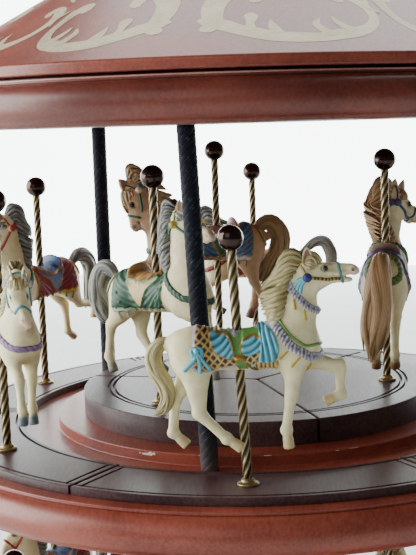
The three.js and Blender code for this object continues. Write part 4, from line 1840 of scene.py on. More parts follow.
class Outline:
    """A closed smooth outline in the side view, x ahead and z up from the trunk's centre."""

    def __init__(self, points: Sequence[Pair], smooth: bool = True) -> None:
        """Sample the outline."""
        keys = np.array(points, float)
        if smooth:
            ring = np.vstack([keys[-1:], keys, keys[:2]])
            keys = curve(ring, 6 * (len(ring) - 1) + 1)[6:-6]
            keys = keys[:-1] if np.allclose(keys[0], keys[-1]) else keys
        self.keys = keys

    def __call__(self, x: Array, z: Array) -> Array:
        """Give the signed distance of points, negative inside."""
        best = np.full(len(x), 1e9)
        winding = np.zeros(len(x), bool)
        for a, b in zip(self.keys, np.roll(self.keys, -1, axis=0)):
            edge = b - a
            px, pz = x - a[0], z - a[1]
            t = np.clip((px * edge[0] + pz * edge[1]) / max(edge @ edge, 1e-9), 0, 1)
            best = np.minimum(best, np.hypot(px - t * edge[0], pz - t * edge[1]))
            crosses = (a[1] > z) != (b[1] > z)
            with np.errstate(divide="ignore", invalid="ignore"):
                where = a[0] + (z - a[1]) / (edge[1] if edge[1] else 1e-9) * edge[0]
            winding ^= crosses & (x < where)
        return np.where(winding, -best, best)


@dataclass(frozen=True)
class Layer:
    """One layer of dress on the flank: its outline, thickness, paint and raised trim."""

    shape: Callable[[Array, Array], Array]
    height: float
    tint: Tint
    relief: Optional[Tint] = None
    trim: Optional[str] = None
    trim_width: float = 0.9
    trim_rise: float = 0.45


def folds(focus: Pair, count: float, depth: float) -> Tint:
    """Give folds that fan out from a point."""
    def rise(x: Array, z: Array) -> Array:
        turn = np.arctan2(z - focus[1], x - focus[0])
        return depth * (0.5 + 0.5 * np.cos(turn * count))
    return rise


def swags(low: Pair, sag: float, pitch: float, depth: float) -> Tint:
    """Give folds that sag below a point like hung cloth."""
    def rise(x: Array, z: Array) -> Array:
        level = z - low[1] - sag * (x - low[0]) ** 2
        return depth * (0.5 + 0.5 * np.cos(level * 2 * np.pi / pitch))
    return rise


def lattice(pitch: float) -> tuple[Tint, Tint]:
    """Give the relief and the tint of a gilt net over dark cells."""
    def line(x: Array, z: Array) -> Array:
        u, v = (x + z) / pitch + 0.07 * np.sin(1.1 * z), (x - z) / pitch + 0.06 * np.sin(0.9 * x + 1)
        off = np.minimum(np.abs(u - np.round(u)), np.abs(v - np.round(v)))
        return np.clip(1 - off / 0.19, 0, 1)

    def tint(x: Array, z: Array) -> Array:
        return blend_paint(paint("3a2016"), paint("d2b56c", 0.5), line(x, z) * 2.2)
    return (lambda x, z: 0.55 * np.sqrt(line(x, z))), tint


def speckle(depth: float, seed: int = 5) -> Tint:
    """Give a fleecy relief from a few crossing waves."""
    chance = np.random.default_rng(seed)
    waves = [(chance.uniform(1.2, 3.4), chance.uniform(0, 2 * np.pi), chance.uniform(0, 6)) for _ in range(9)]

    def rise(x: Array, z: Array) -> Array:
        total = sum(np.sin(k * (x * math.cos(a) + z * math.sin(a)) + p) for k, a, p in waves)
        return depth * np.clip(0.5 + total / 6, 0, 1)
    return rise


def shaded(low: str, high: str, relief: Tint, span: float, metal: float = 0.0) -> Tint:
    """Give a tint that is dark in a relief's valleys, as painted shade, and light on its ridges."""
    return lambda x, z: blend_paint(paint(low, metal), paint(high, metal), relief(x, z) / span)


def shell(outer: Array, under: Array, rows: int, columns: int, colours: Optional[Array] = None,
          closed: bool = False) -> Surface:
    """Close two matching grids into one body."""
    total = rows * columns
    top = grid_faces(rows, columns, closed, False)
    number = np.arange(total).reshape(rows, columns)
    if closed:
        left = np.append(number[:, 0], number[0, 0])[::-1]
        right = np.append(number[:, -1], number[0, -1])
        rings = [left, right]
    else:
        rings = [np.concatenate([number[0], number[1:, -1], number[-1, -2::-1], number[-2::-1, 0]])]
    walls = [np.stack([r[1:], r[:-1], r[:-1] + total, r[1:] + total], -1) for r in rings]
    if colours is not None:
        colours = np.vstack([colours, colours])
    faces = [top, top[:, ::-1] + total, *walls]
    return facing_out(Surface(np.vstack([outer, under]), faces, colours))


def dressed_flanks(figure: Figure, layers: Sequence[Layer], start: float, end: float, drop: float) -> Surface:
    """Lay the layers over the back and both flanks as one relief, sunk where there is none.

    Args:
        figure: The figure that wears them.
        layers: The layers, lowest first.
        start: The rear end of the dressed stretch.
        end: Its front end.
        drop: How far down each flank it reaches, along the skin.

    Returns:
        The relief as a closed shell.
    """
    step = figure.gait.grain * 0.52
    down = np.arange(-drop, drop + step, step)
    ahead = np.arange(start, end + step, step)
    s, x = np.meshgrid(down, ahead, indexing="ij")
    turn = np.clip(np.abs(s) / 16, 0, 1) * np.pi / 2
    below = np.maximum(np.abs(s) - 16, 0)
    seeds = np.stack([x, np.sign(s) * 10.2 * np.sin(turn), 11.5 * np.cos(turn) - below], -1)
    points, normals = figure.project(seeds.reshape(-1, 3), 5)
    flat_x, flat_z = points[:, 0], points[:, 2]
    height = np.full(len(points), -0.45)
    base = np.zeros(len(points))
    colours = coated(paint("b8b0a0"), len(points))
    for layer in layers:
        gap = layer.shape(flat_x, flat_z)
        inside = gap < 0
        if not inside.any():
            continue
        rise = layer.relief(flat_x, flat_z) if layer.relief is not None else np.zeros(len(points))
        tone = layer.tint(flat_x, flat_z)
        if layer.trim is not None:
            edge = np.clip((gap + layer.trim_width) / (0.35 * layer.trim_width), 0, 1)
            rise = rise + edge * (layer.trim_rise - rise * 0.8)
            tone = blend_paint(tone, paint(layer.trim, 0.8), edge)
        soft = np.sqrt(np.clip(-gap / 0.55, 0, 1))
        base = np.where(inside, base + layer.height * soft, base)
        height = np.where(inside, base + rise * soft, height)
        colours[inside] = tone[inside]
    edge_rows = (np.abs(s) > drop - step * 0.6) | (x < start + step * 0.6) | (x > end - step * 0.6)
    height[edge_rows.ravel()] = -0.5
    outer = points + normals * height[:, None]
    under = points - normals * 1.1
    return shell(outer, under, len(down), len(ahead), colours)


def strap(figure: Figure, route: Sequence[Triple], width: float, height: float, tint: Tint,
          closed: bool = False, count: int = 60, relief: Optional[Tint] = None, across: int = 7) -> Surface:
    """Lay a strap along a route on the skin.

    Args:
        figure: The figure that wears it.
        route: Rough points of its middle line.
        width: Its width.
        height: Its thickness at the middle.
        tint: Its paint, from millimetres along and a share across of -1 to 1.
        closed: Whether it is a loop.
        count: Stations along it.
        relief: Extra height, from the same two numbers.
        across: Vertices across it.

    Returns:
        A closed shell.
    """
    keys = np.array(route, float)
    if closed:
        ring = np.vstack([keys[-1:], keys, keys[:2]])
        full = curve(ring, 40 * (len(ring) - 1) + 1)[40:-40]
        line = full[np.linspace(0, len(full) - 1, count, endpoint=False).astype(int)]
    else:
        line = curve(keys, count)
    line, normals = figure.project(line, 5)
    if closed:
        ahead = unit(np.roll(line, -1, axis=0) - np.roll(line, 1, axis=0))
    else:
        ahead = unit(np.gradient(line, axis=0))
    side = unit(np.cross(normals, ahead))
    share = np.linspace(-1, 1, across)
    seeds = line[:, None] + side[:, None] * (share * width / 2)[None, :, None]
    gone = np.concatenate([[0], np.cumsum(np.linalg.norm(np.diff(line, axis=0), axis=1))])
    u, v = np.meshgrid(gone, share, indexing="ij")
    heights = height * np.sqrt(np.clip(1.04 - v**2, 0, 1)) + 0.05
    if relief is not None:
        heights = heights + relief(u.ravel(), v.ravel()).reshape(u.shape)
    points, normals = figure.project(seeds.reshape(-1, 3))
    outer = points + normals * heights.reshape(-1, 1)
    under = points - normals * 0.7
    return shell(outer, under, count, across, tint(u.ravel(), v.ravel()), closed)


def mirrored(route: Sequence[Triple]) -> list[Triple]:
    """Close a route that runs from the middle down the right side by repeating it on the left."""
    left = [(x, -y, z) for x, y, z in reversed(route) if abs(y) > 0.01]
    return [*route, *left]


def banded(colours: Sequence[str], pitch: float, metal: float = 0.0) -> Tint:
    """Give a tint that changes colour along a strap."""
    tones = np.array([paint(c, metal) for c in colours])
    return lambda u, v: tones[(u / pitch).astype(int) % len(tones)]


def lined(middle: str, edge: str, share: float = 0.62, metal: float = 0.0, edge_metal: float = 0.8) -> Tint:
    """Give a tint with a coloured middle and edges."""
    inner, outer = paint(middle, metal), paint(edge, edge_metal)
    return lambda u, v: np.where((np.abs(v) < share)[:, None], inner, outer)


def frills(pitch: float, depth: float) -> Tint:
    """Give the ripples of a frilled edge."""
    def rise(u: Array, v: Array) -> Array:
        wave = depth * (0.5 + 0.5 * np.sin(2 * np.pi * u / pitch + 3 * v))
        return wave * (0.35 + 0.65 * np.abs(v))
    return rise


def knob(centre: Array, radii: Triple, tone: Paint, petals: int = 0,
         core: Optional[Paint] = None, axis: Optional[Array] = None) -> Surface:
    """Make a small dome or blossom that faces an axis.

    Args:
        centre: Its middle.
        radii: Across, along and out.
        tone: Its paint.
        petals: Lobes round it.
        core: Paint of its middle.
        axis: The way it faces, sideways if none.

    Returns:
        A closed surface.
    """
    out = unit(np.array(axis if axis is not None else (0.0, 1.0, 0.0), float))
    helper = np.array([0.0, 0.0, 1.0]) if abs(out[2]) < 0.8 else np.array([1.0, 0.0, 0.0])
    right = unit(np.cross(helper, out))
    up = np.cross(out, right)
    rows, sides = 7, 20
    turns = np.linspace(0, 2 * np.pi, sides, endpoint=False)
    lobes = 1 - 0.16 * (1 - np.cos(turns * petals)) if petals else np.ones(sides)
    points, tones = [], []
    for k in range(1, rows):
        polar = np.pi * k / rows
        ring = np.sin(polar) * lobes
        place = (
            centre
            + np.outer(np.cos(turns) * ring * radii[0], right)
            + np.outer(np.sin(turns) * ring * radii[1], up)
            - out * (math.cos(polar) * radii[2])
        )
        points.append(place)
        tones.append(coated(core if core is not None and k >= rows - 2 else tone, sides))
    points += [[centre - out * radii[2]], [centre + out * radii[2]]]
    tones += [[tone], [core if core is not None else tone]]
    return facing_out(Surface(np.vstack(points), tube_faces(rows - 1, sides), np.vstack(tones)))


class Livery:
    """The dress that every horse has in some form, in one horse's colours."""

    def __init__(self, figure: Figure, look: "Look") -> None:
        """Take the figure and its colours."""
        self.figure = figure
        self.look = look
        self.parts: list[Surface] = []

    def flanks(self, layers: Sequence[Layer], start: float = -31.0, end: float = 17.0,
               drop: float = 27.0) -> None:
        """Lay the cloths and the saddle."""
        self.parts.append(dressed_flanks(self.figure, layers, start, end, drop))

    def loop(self, route: Sequence[Triple], width: float, height: float, tint: Tint,
             relief: Optional[Tint] = None, count: int = 110, across: int = 7) -> None:
        """Lay a strap that closes round the horse."""
        route = mirrored(route)
        self.parts.append(strap(self.figure, route, width, height, tint, True, count, relief, across))

    def pair(self, route: Sequence[Triple], width: float, height: float, tint: Tint,
             relief: Optional[Tint] = None, count: int = 40, across: int = 5) -> None:
        """Lay a strap on each side."""
        for side in (1, -1):
            points = [(x, y * side, z) for x, y, z in route]
            self.parts.append(strap(self.figure, points, width, height, tint, False, count, relief, across))

    def studs(self, spots: Sequence[Triple], radii: Triple, tone: Paint, petals: int = 0,
              core: Optional[Paint] = None) -> None:
        """Set a blossom or boss on each side at each spot."""
        for spot in spots:
            for side in (1, -1):
                place = np.array([[spot[0], spot[1] * side, spot[2]]])
                skin_point, normal = self.figure.project(place, 5)
                centre = skin_point[0] + normal[0] * radii[2] * 0.35
                self.parts.append(knob(centre, radii, tone, petals, core, normal[0]))
                if abs(spot[1]) < 0.01:
                    break

    def ribbon(self, route: Sequence[Triple], width: float, height: float, high: str, low: str) -> None:
        """Lay one end or loop of a bow, ridged along its length, with painted shade along its sides."""
        # The ribbon's sides are painted darker than its middle: painted shade.
        def tint(u: Array, v: Array) -> Array:
            return blend_paint(paint(high), paint(low), 0.9 * np.abs(v) ** 2)
        self.parts.append(strap(self.figure, route, width, height, tint, False, 16, None, 7))

    def tassel(self, start: Triple, finish: Triple, radius: float, colour: str) -> None:
        """Hang a tassel on each side between two rough places."""
        for side in (1, -1):
            ends = np.array([start, finish]) * [1, side, 1]
            on_skin, normals = self.figure.project(ends, 5)
            a, b = on_skin + normals * (radius * 0.9)
            t = np.linspace(0, 1, 9)
            path = a + (b - a) * t[:, None]
            widths = radius * np.interp(t, [0, 0.12, 0.3, 0.42, 1], [0.25, 0.45, 0.8, 0.6, 1.15])
            tones = blend_paint(paint(colour), paint("8f7a22"), 0.5 * (1 - t))
            self.parts.append(lock(path, widths, widths * 0.8, np.array([0.3, 1.0, 0.2]), tones, 0.0, 9))

    def head_loop(self, s: float, n_top: float, n_low: float, half: float, width: float, height: float,
                  tint: Tint, slant: float = 0.0) -> None:
        """Lay a strap round the muzzle or the poll."""
        f = self.figure.face
        middle = (n_top + n_low) / 2
        route = [
            f(s + slant, n_top),
            f(s + slant * 0.5, n_top * 0.6 + middle * 0.4, -half * 0.8),
            f(s, middle, -half),
            f(s - slant * 0.5, n_low * 0.6 + middle * 0.4, -half * 0.8),
            f(s - slant, n_low),
        ]
        self.loop(route, width, height, tint, count=48, across=5)

    def bridle(self) -> None:
        """Lay the bridle: noseband, brow band, cheek straps and a rosette."""
        look, f = self.look, self.figure.face
        band = plain(look.bridle)
        rope = banded((look.cheek, look.cheek_dark), 0.9, 0.5) if look.cheek else band
        edged = lined(look.cheek, look.cheek_dark, 0.6) if look.cheek else band
        self.head_loop(18.2, 2.2, -6.6, 3.2, 1.5, 0.6, band, -0.9)
        crown = [f(-1.0, 5.6), f(-0.6, 3.6, -3.6), f(0.8, 0.4, -4.6), f(2.0, -2.6, -4.8)]
        self.pair(crown, 1.1, 0.6, edged)
        cheek = ((2.4, -2.8, -4.8), (8.7, -3.8, -4.6), (12.8, -4.8, -3.8), (18.6, -5.4, -2.8))
        self.pair([f(*p) for p in cheek], 1.6, 0.9, rope)
        self.studs([f(2.0, -2.6, -4.8)], (2.3, 2.3, 1.9), paint(look.rosette), 0, paint(look.rosette_core))
        ends = (
            ((1.0, -3.0), (-1.8, -3.4), (-4.2, -6.0)),
            ((1.2, -3.6), (-1.0, -6.0), (-2.0, -10.0)),
            ((0.6, -3.2), (-1.6, -4.8), (-3.4, -8.0)),
        )
        for side in (1, -1):
            for end in ends:
                route = [f(s, n, 4.8 * side) for s, n in end]
                self.ribbon(route, 1.9, 1.0, look.bow or look.cloth, look.cloth_dark)


@dataclass(frozen=True)
class Look:
    """The colours of one horse's dress."""

    # cloth_dark, saddle_dark and breast_dark are painted shade colours: they darken the valleys of folds,
    # fleece and frills, and the sides of the bow's ribbons.
    cloth: str
    cloth_dark: str
    saddle: str
    saddle_dark: str
    skirt: str
    edge: str
    under: str
    breast: str
    breast_dark: str
    bridle: str
    rosette: str
    rosette_core: str
    tassel: str
    cheek: str = ""
    cheek_dark: str = ""
    bow: str = ""
    flower: str = "e0c25a"
    leaf: str = ""
    heart: str = "8a2f38"


TURQUOISE = Look(
    cloth="6cc4d8", cloth_dark="1f6f8c", saddle="c9c5cb", saddle_dark="84808c", skirt="568a3a", edge="a07a34",
    under="b9b2c4", breast="cfcad2", breast_dark="6f6c80", bridle="4a8f94", rosette="0e1250",
    rosette_core="1d2478", tassel="dcc23a", cheek="c3a458", cheek_dark="3a2a18",
)


def dress_stride(livery: Livery) -> None:
    """Dress the striding horse in turquoise swags over a gilt net."""
    look = livery.look
    net_relief, net_tint = lattice(4.0)
    rear_folds = swags((-12.0, -2.4), 0.07, 3.4, 0.8)
    front_folds = swags((3.6, -2.2), 0.06, 2.9, 0.8)
    drape_folds = folds((12.5, 34.0), 74, 1.3)
    fringe_folds = folds((13.2, 60.0), 190, 1.0)
    fleece = speckle(0.3)

    def seat_relief(x: Array, z: Array) -> Array:
        """Raise the cantle and the pommel above the fleece."""
        cantle = 3.6 * np.exp(-(((x + 10.2) / 1.7) ** 2)) + 1.2 * np.exp(-(((x + 6.5) / 3.5) ** 2))
        return fleece(x, z) + cantle * np.clip((z - 5) / 3, 0, 1)

    def wing(x: Array, z: Array) -> Array:
        """Lift the skirt behind the cantle."""
        return 2.6 * np.exp(-(((x + 11.6) / 1.8) ** 2)) * np.clip((z - 5) / 3, 0, 1)

    blanket = [
        (-21.4, 22), (-21.0, 12), (-21.6, 5), (-22.4, 0), (-22.8, -5), (-21.9, -7.6), (-19.3, -8.9),
        (-15.8, -9.5), (-9.7, -9.3), (-3.6, -8.0), (4, -8.2), (12, -9), (19, -8), (19.4, 2), (17, 12),
        (16, 22),
    ]
    net = [
        (-19.2, 22), (-19.3, 12.3), (-19.9, 9), (-20.6, 5.4), (-21.4, 1.5), (-21.5, -4), (-20.6, -7.2),
        (-16.3, -8.3), (-12.7, -8.3), (-9.6, -7.5), (-6.6, -7.1), (-1.1, -6.3), (6, -6.4), (12, -7),
        (13, 22),
    ]
    skirt = [
        (-12.8, 22), (-12.9, 14), (-12.6, 10.3), (-10.9, 7.6), (-6.1, 7.0), (-3.9, 5.0), (-2.9, 2.5),
        (-2.3, -0.7), (-1.5, -3.0), (2.3, -3.0), (2.1, 0.9), (3.1, 3.7), (5.1, 5.1), (8.1, 5.7), (12, 5.6),
        (12, 22),
    ]
    seat = [
        (-11.6, 22), (-11.6, 13.6), (-11.3, 11.0), (-8.3, 9.6), (-5.4, 8.5), (-2.6, 7.3), (-0.9, 5.9),
        (1.1, 7.6), (3.5, 8.5), (6.6, 8.9), (11.6, 9.5), (12, 22),
    ]
    rear = [
        (-14.2, 22), (-14.3, 11.6), (-14.6, 9.8), (-13.9, 5.2), (-12.5, 1.6), (-10.6, -0.5), (-6.8, -2.6),
        (-3.9, -3.4), (-2.0, -3.0), (-1.6, 2), (-4, 9), (-8, 22),
    ]
    front = [(2.2, 22), (2.3, 3.7), (2.0, -0.6), (3.4, -1.9), (5.8, -2.1), (8.9, -1.2), (13, 0), (13, 22)]
    drape = [
        (11.2, 22), (11.3, 12.1), (11.4, 8.2), (11.7, 3.9), (11.0, -0.9), (9.9, -4.5), (14, -5.2),
        (18.2, -4.9), (19.2, -3.6), (20.2, -0.3), (20.0, 2.2), (19.0, 5.9), (17.4, 9.2), (15.0, 11.4),
        (13.4, 12.6), (13.2, 22),
    ]
    fringe = [
        (8.6, -5.0), (18.8, -5.0), (18.6, -9.9), (14.8, -10.9), (11.8, -10.6), (9.6, -10.3), (8.2, -8.9),
    ]
    flap = [(-1.3, -2.6), (-1.0, -6.2), (0.4, -8.7), (2.3, -9.6), (4.9, -9.2), (4.4, -6.6), (3.1, -2.4)]
    clasp = [(-2.3, -1.8), (3.0, -1.5), (3.2, -3.5), (-2.1, -3.8)]

    def cloth(relief: Tint, span: float) -> Tint:
        """Give the cloth painted shade in its folds' valleys."""
        return shaded(look.cloth_dark, look.cloth, relief, span)

    # The cloths, fringe and seat carry painted shade in the valleys of their folds and fleece.
    layers = [
        Layer(Outline(blanket, False), 0.4, plain(look.under), lambda x, z: 0.2 + 0.2 * np.sin(2.2 * x)),
        Layer(Outline(net, False), 0.3, net_tint, net_relief),
        Layer(Outline(rear), 0.6, cloth(rear_folds, 0.8), rear_folds, trim=look.edge),
        Layer(Outline(front, False), 0.6, cloth(front_folds, 0.8), front_folds),
        Layer(Outline(fringe), 0.9, shaded("5d431f", "cdb373", fringe_folds, 0.7, 0.3), fringe_folds),
        Layer(Outline(skirt), 0.4, plain(look.skirt), wing, trim=look.edge, trim_width=1.0),
        Layer(Outline(seat), 0.1, shaded(look.saddle_dark, look.saddle, fleece, 0.7), seat_relief),
        Layer(Outline(drape), 1.0, cloth(drape_folds, 1.0), drape_folds),
        Layer(Outline(flap), 1.2, plain(look.skirt), trim=look.edge, trim_width=0.8),
        Layer(Outline(clasp, False), 1.2, plain("b58a3c", 0.8)),
    ]
    livery.flanks(layers, -25.5, 22.5, 28.0)
    girth = [(8.2, 0, -12), (7.4, -5, -12), (5.4, -9.2, -9.6), (4.4, -10.2, -7.0)]
    girth = [*girth[::-1], *((x, -y, z) for x, y, z in girth[1:])]
    livery.parts.append(strap(livery.figure, girth, 2.6, 0.8, lined("55702f", "7a5520", 0.5, 0.0, 0.3)))
    garland = frills(1.9, 0.8)
    route = [
        (16.4, 0, 16.5), (16.8, -4.0, 15.6), (18.6, -7.8, 12.4), (20.8, -9.4, 8.8), (23.2, -9.6, 5.2),
        (25.7, -9.4, 1.6), (29.1, -8.2, -1.7), (32.5, -6.2, -3.8), (37.6, 0, -4.2),
    ]
    # The garland and the collar have painted shade in their frills' valleys.
    spots = spotted_band(look.breast_dark, look.breast, garland, 3.1, "4f4a58")
    livery.loop(route, 4.3, 0.9, spots, garland, 200, 9)
    route = [
        (19.2, 0, 18), (19.8, -4, 16.6), (21.2, -7.4, 13.8), (23.6, -8.9, 9.9), (26.4, -9.1, 5.9),
        (29.6, -8.2, 2.8), (33.0, -5.8, 0.5), (38.6, 0, 0.2),
    ]
    livery.loop(route, 1.4, 0.8, plain("6f9a4e"), None, 120, 5)
    collar = frills(1.5, 0.7)
    route = [
        (20.5, 0, 36), (23.0, -4.2, 34), (25.6, -5.7, 31.2), (28.1, -6.0, 27.4), (31.0, -6.1, 24.0),
        (34.4, -5.6, 20.2), (37.6, -3.6, 17.6), (40.4, 0, 16.4),
    ]
    spots = spotted_band(look.breast_dark, look.breast, collar, 2.9, "2d2f5e")
    livery.loop(route, 3.5, 0.8, spots, collar, 150, 9)
    bow = (
        ((-20.6, 0.4), (-21.4, -3.4), (-24.9, -6.8)),
        ((-19.6, 0), (-17.6, -4.2), (-14.9, -7.2)),
        ((-20.2, -0.4), (-19.6, -4.2), (-20.0, -7.9)),
        ((-20.4, 2.8), (-22.2, 1.6), (-21.4, -1.6)),
        ((-19.8, 2.9), (-17.8, 1.9), (-18.0, -1.4)),
    )
    for side in (1, -1):
        for end in bow:
            livery.ribbon([(x, 9.2 * side, z) for x, z in end], 2.3, 1.9, look.cloth, look.cloth_dark)
    livery.studs([(-20.1, -9.4, 1.4)], (1.5, 1.5, 3.2), paint("7fcbd9"))
    tassels = (
        ((24.7, -9.4, -1.0), (20.8, -9.0, -4.2)),
        ((29.2, -8.2, -4.0), (26.0, -8.2, -7.8)),
        ((34.0, -5.2, -6.2), (31.9, -5.6, -9.8)),
        ((28.6, -6.4, 24.4), (29.1, -7.2, 18.6)),
        ((33.4, -6.0, 18.4), (33.9, -7.0, 13.0)),
    )
    for start, finish in tassels:
        livery.tassel(start, finish, 0.85, look.tassel)


def spotted_band(low: str, high: str, relief: Tint, pitch: float, spot: str) -> Tint:
    """Give a frilled band's tint with dark spots along its middle."""
    base = shaded_band(low, high, relief)

    def tint(u: Array, v: Array) -> Array:
        off = np.hypot(u - np.round(u / pitch) * pitch, (v - 0.15) * 1.6)
        return blend_paint(base(u, v), paint(spot), (0.75 - off) / 0.25)
    return tint


def shaded_band(low: str, high: str, relief: Tint) -> Tint:
    """Give a strap's tint that is dark in its frills' valleys, as painted shade."""
    def tint(u: Array, v: Array) -> Array:
        rise = relief(u, v)
        share = rise / max(float(rise.max()), 1e-6)
        return blend_paint(paint(low), paint(high), share * 1.3)
    return tint


def dress_plain(livery: Livery) -> None:
    """Dress a horse in a bordered cloth, a skirt and a rimmed saddle."""
    look = livery.look
    waves = swags((-6.0, -9.0), 0.03, 3.0, 0.6)
    padding = speckle(0.35, 11)

    def seat_relief(x: Array, z: Array) -> Array:
        """Raise the cantle and the pommel."""
        cantle = 3.2 * np.exp(-(((x + 14.8) / 1.9) ** 2)) * np.clip((z - 6) / 4, 0, 1)
        pommel = 2.4 * np.exp(-(((x - 8.6) / 1.7) ** 2)) * np.clip((z - 6) / 4, 0, 1)
        return padding(x, z) + cantle + pommel

    def scalloped(base: float) -> Callable[[Array, Array], Array]:
        """Give a cloth whose lower edge is scalloped."""
        body = Outline([(-24, 22), (-25, 4), (-24, base), (14, base), (15, 4), (13, 22)], False)
        return lambda x, z: body(x, z) + 0.8 * np.abs(np.sin(x * 0.62))

    # The cloth, saddle, breast band and, where it has leaves, the rump band carry painted shade in the valleys
    # of their folds, padding and frills.
    cloth = shaded(look.cloth_dark, look.cloth, waves, 0.6)
    skirt = [(-15, 22), (-15.5, 8), (-12, 3), (-8, -2), (-3.5, -6.2), (0.8, -2), (4, 3), (9, 7), (9.5, 22)]
    seat = [(-16.6, 22), (-16.4, 9), (-9, 5.4), (-3, 4.2), (4, 6), (10, 9.4), (10.4, 22)]
    leather = shaded(look.saddle_dark, look.saddle, padding, 0.35)
    layers = [
        Layer(scalloped(-10.2), 0.5, plain(look.under), trim=look.edge),
        Layer(scalloped(-7.6), 0.5, cloth, waves, trim=look.edge, trim_width=0.8),
        Layer(Outline(skirt), 0.9, plain(look.skirt), trim=look.edge),
        Layer(Outline(seat), 0.9, leather, seat_relief, trim=look.edge, trim_width=0.8),
    ]
    livery.flanks(layers)
    ruffle = frills(3.2, 0.5)
    route = [
        (12.4, 0, 14), (15.5, -5.5, 12.0), (20.6, -8.6, 6), (26.2, -9.0, 1), (32, -7.0, -2.6), (38.6, 0, -4.2),
    ]
    livery.loop(route, 3.4, 0.9, shaded_band(look.breast_dark, look.breast, ruffle), ruffle, 150, 7)
    leaves = frills(2.6, 0.6) if look.leaf else None
    rump = shaded_band("3f5a24", look.leaf, leaves) if look.leaf else lined(look.skirt, look.edge)
    route = [(-24, 0, 12.4), (-27, -6.5, 8), (-31, -7.6, 1.5), (-35.0, 0, -1.0)]
    livery.loop(route, 4.0 if look.leaf else 2.2, 0.8, rump, leaves, 90, 7)
    for x in (-20.0, -14.5, -9.0, -3.5, 2.0, 7.5, 12.0):
        livery.tassel((x, -9.4, -8.6), (x - 0.3, -8.8, -12.4), 0.8, look.tassel)
    flowers = ((-20.4, 0.6, 1.9), (-18.6, -4.6, 1.7), (11.6, 2.4, 1.9), (10.2, -3.6, 1.7), (-2.6, 1.0, 1.6))
    for x, z, size in flowers:
        livery.studs([(x, -9.6, z)], (size, size, 1.3), paint(look.flower), 5, paint(look.heart))


LOOKS = {
    "outer_1": TURQUOISE,
    "outer_2": Look("c2565a", "7c2430", "dfc89a", "a98b50", "3f6f9c", "c9a04c", "e6dcc6", "6e9c5a",
                    "3f6a38", "8a2f38", "e6dcc6", "c9a04c", "e2c545"),
    "outer_3": Look("6a5aa0", "3c2f66", "c9b6d8", "8d78a8", "b04a62", "c9a04c", "d8cfe2", "b9a3d0",
                    "7c6796", "5b4a8a", "f0e2b8", "c05a70", "d9b94a"),
    "outer_4": Look("a43a3a", "6a1c22", "d79a4a", "9c6226", "3d5a44", "d8b45c", "d8cbb0", "a43a3a",
                    "6a1c22", "8f3034", "d8b45c", "a43a3a", "d8b45c"),
    "outer_5": Look("a83a4a", "6c1f2e", "5f82b4", "33507e", "5a7aa6", "cf8f3e", "dfcf5a", "3f8a5a",
                    "24543a", "9c2f36", "d9c36a", "9c2f36", "4f7f4a"),
    "outer_6": Look("a98ab8", "6f5384", "d6cbdc", "9f8fae", "7f9fb4", "c9a04c", "e6e0e6", "a98ab8",
                    "6f5384", "4f9fa8", "ece8e0", "b48fc0", "d9c36a"),
    "inner_1": Look("5d4a80", "352a54", "c9b59a", "8d7a60", "5d4a80", "5d4a80", "d9cfe0", "3f7a50",
                    "23492f", "3c4c80", "8e3146", "4a5c90", "7a5aa0", leaf="6f9a44"),
    "inner_2": Look("4f78a0", "2d4a6a", "dbb7ae", "a57f78", "2f5a40", "c9a04c", "c9d0d8", "3f7a58",
                    "234a34", "2f5f46", "c86a72", "e6d9b0", "b48f50"),
    "inner_3": Look("2f6a4f", "173a2b", "c49a5a", "80602f", "d2bb7c", "2d6048", "cfe0cc", "2f6a4f",
                    "173a2b", "5a8a5c", "e6cf4a", "a8862c", "cfe0cc", bow="3f8a6a", flower="e6d25a",
                    heart="2f5a3a"),
}


class Tail(Enum):
    """The ways that a tail hangs, as points and radii behind the trunk's centre."""

    FLOWING = ((-31, 5, 2.6), (-37.4, 4.8, 4.4), (-42.2, -0.6, 5.0), (-41.6, -8, 5.2), (-37.8, -15.5, 4.8),
               (-36.6, -22.5, 4.0), (-39.6, -28.5, 3.4), (-45.0, -31.2, 1.2))
    ARCHED = ((-31, 5, 2.6), (-37, 9, 4.4), (-44, 11.5, 5.8), (-51.5, 8.5, 6.4), (-55.5, 0, 6.2),
              (-54.5, -10, 5.6), (-50.5, -20, 3.8), (-47, -27, 1.0))
    HOOKED = ((-31, 5, 2.4), (-38, 10, 3.4), (-46, 17, 4.6), (-54, 18, 5.4), (-59.5, 9, 5.4),
              (-59, -2, 4.6), (-55, -9, 3.2), (-51, -13, 1.2))
    CURLED = ((-31, 5, 2.8), (-36.5, 12, 4.8), (-43.5, 13.5, 6.2), (-50, 5.5, 6.8), (-51, -4.5, 6.8),
              (-46.5, -13.5, 5.8), (-40, -20, 1.6))
    LOOPED = ((-29, 4, 3.0), (-31.5, 11, 5.4), (-38.5, 13, 7.0), (-45, 5, 7.4), (-43.5, -6, 7.2),
              (-38, -15, 6.8), (-32, -23, 5.2), (-29, -29, 2.0))
    HANGING = ((-30, 7, 3.2), (-36.5, 11, 6.2), (-41.5, 4, 8.6), (-43.5, -8, 9.4), (-43.5, -21, 9.2),
               (-42, -33, 6.8), (-40.5, -42, 2.4))


@dataclass(frozen=True)
class Breed:
    """How one horse is finished: its coat, tail and mane."""

    coat: Coat
    tail: Tail
    blown: float = 1.0
    fall: float = 1.0
    sway: float = 0.0


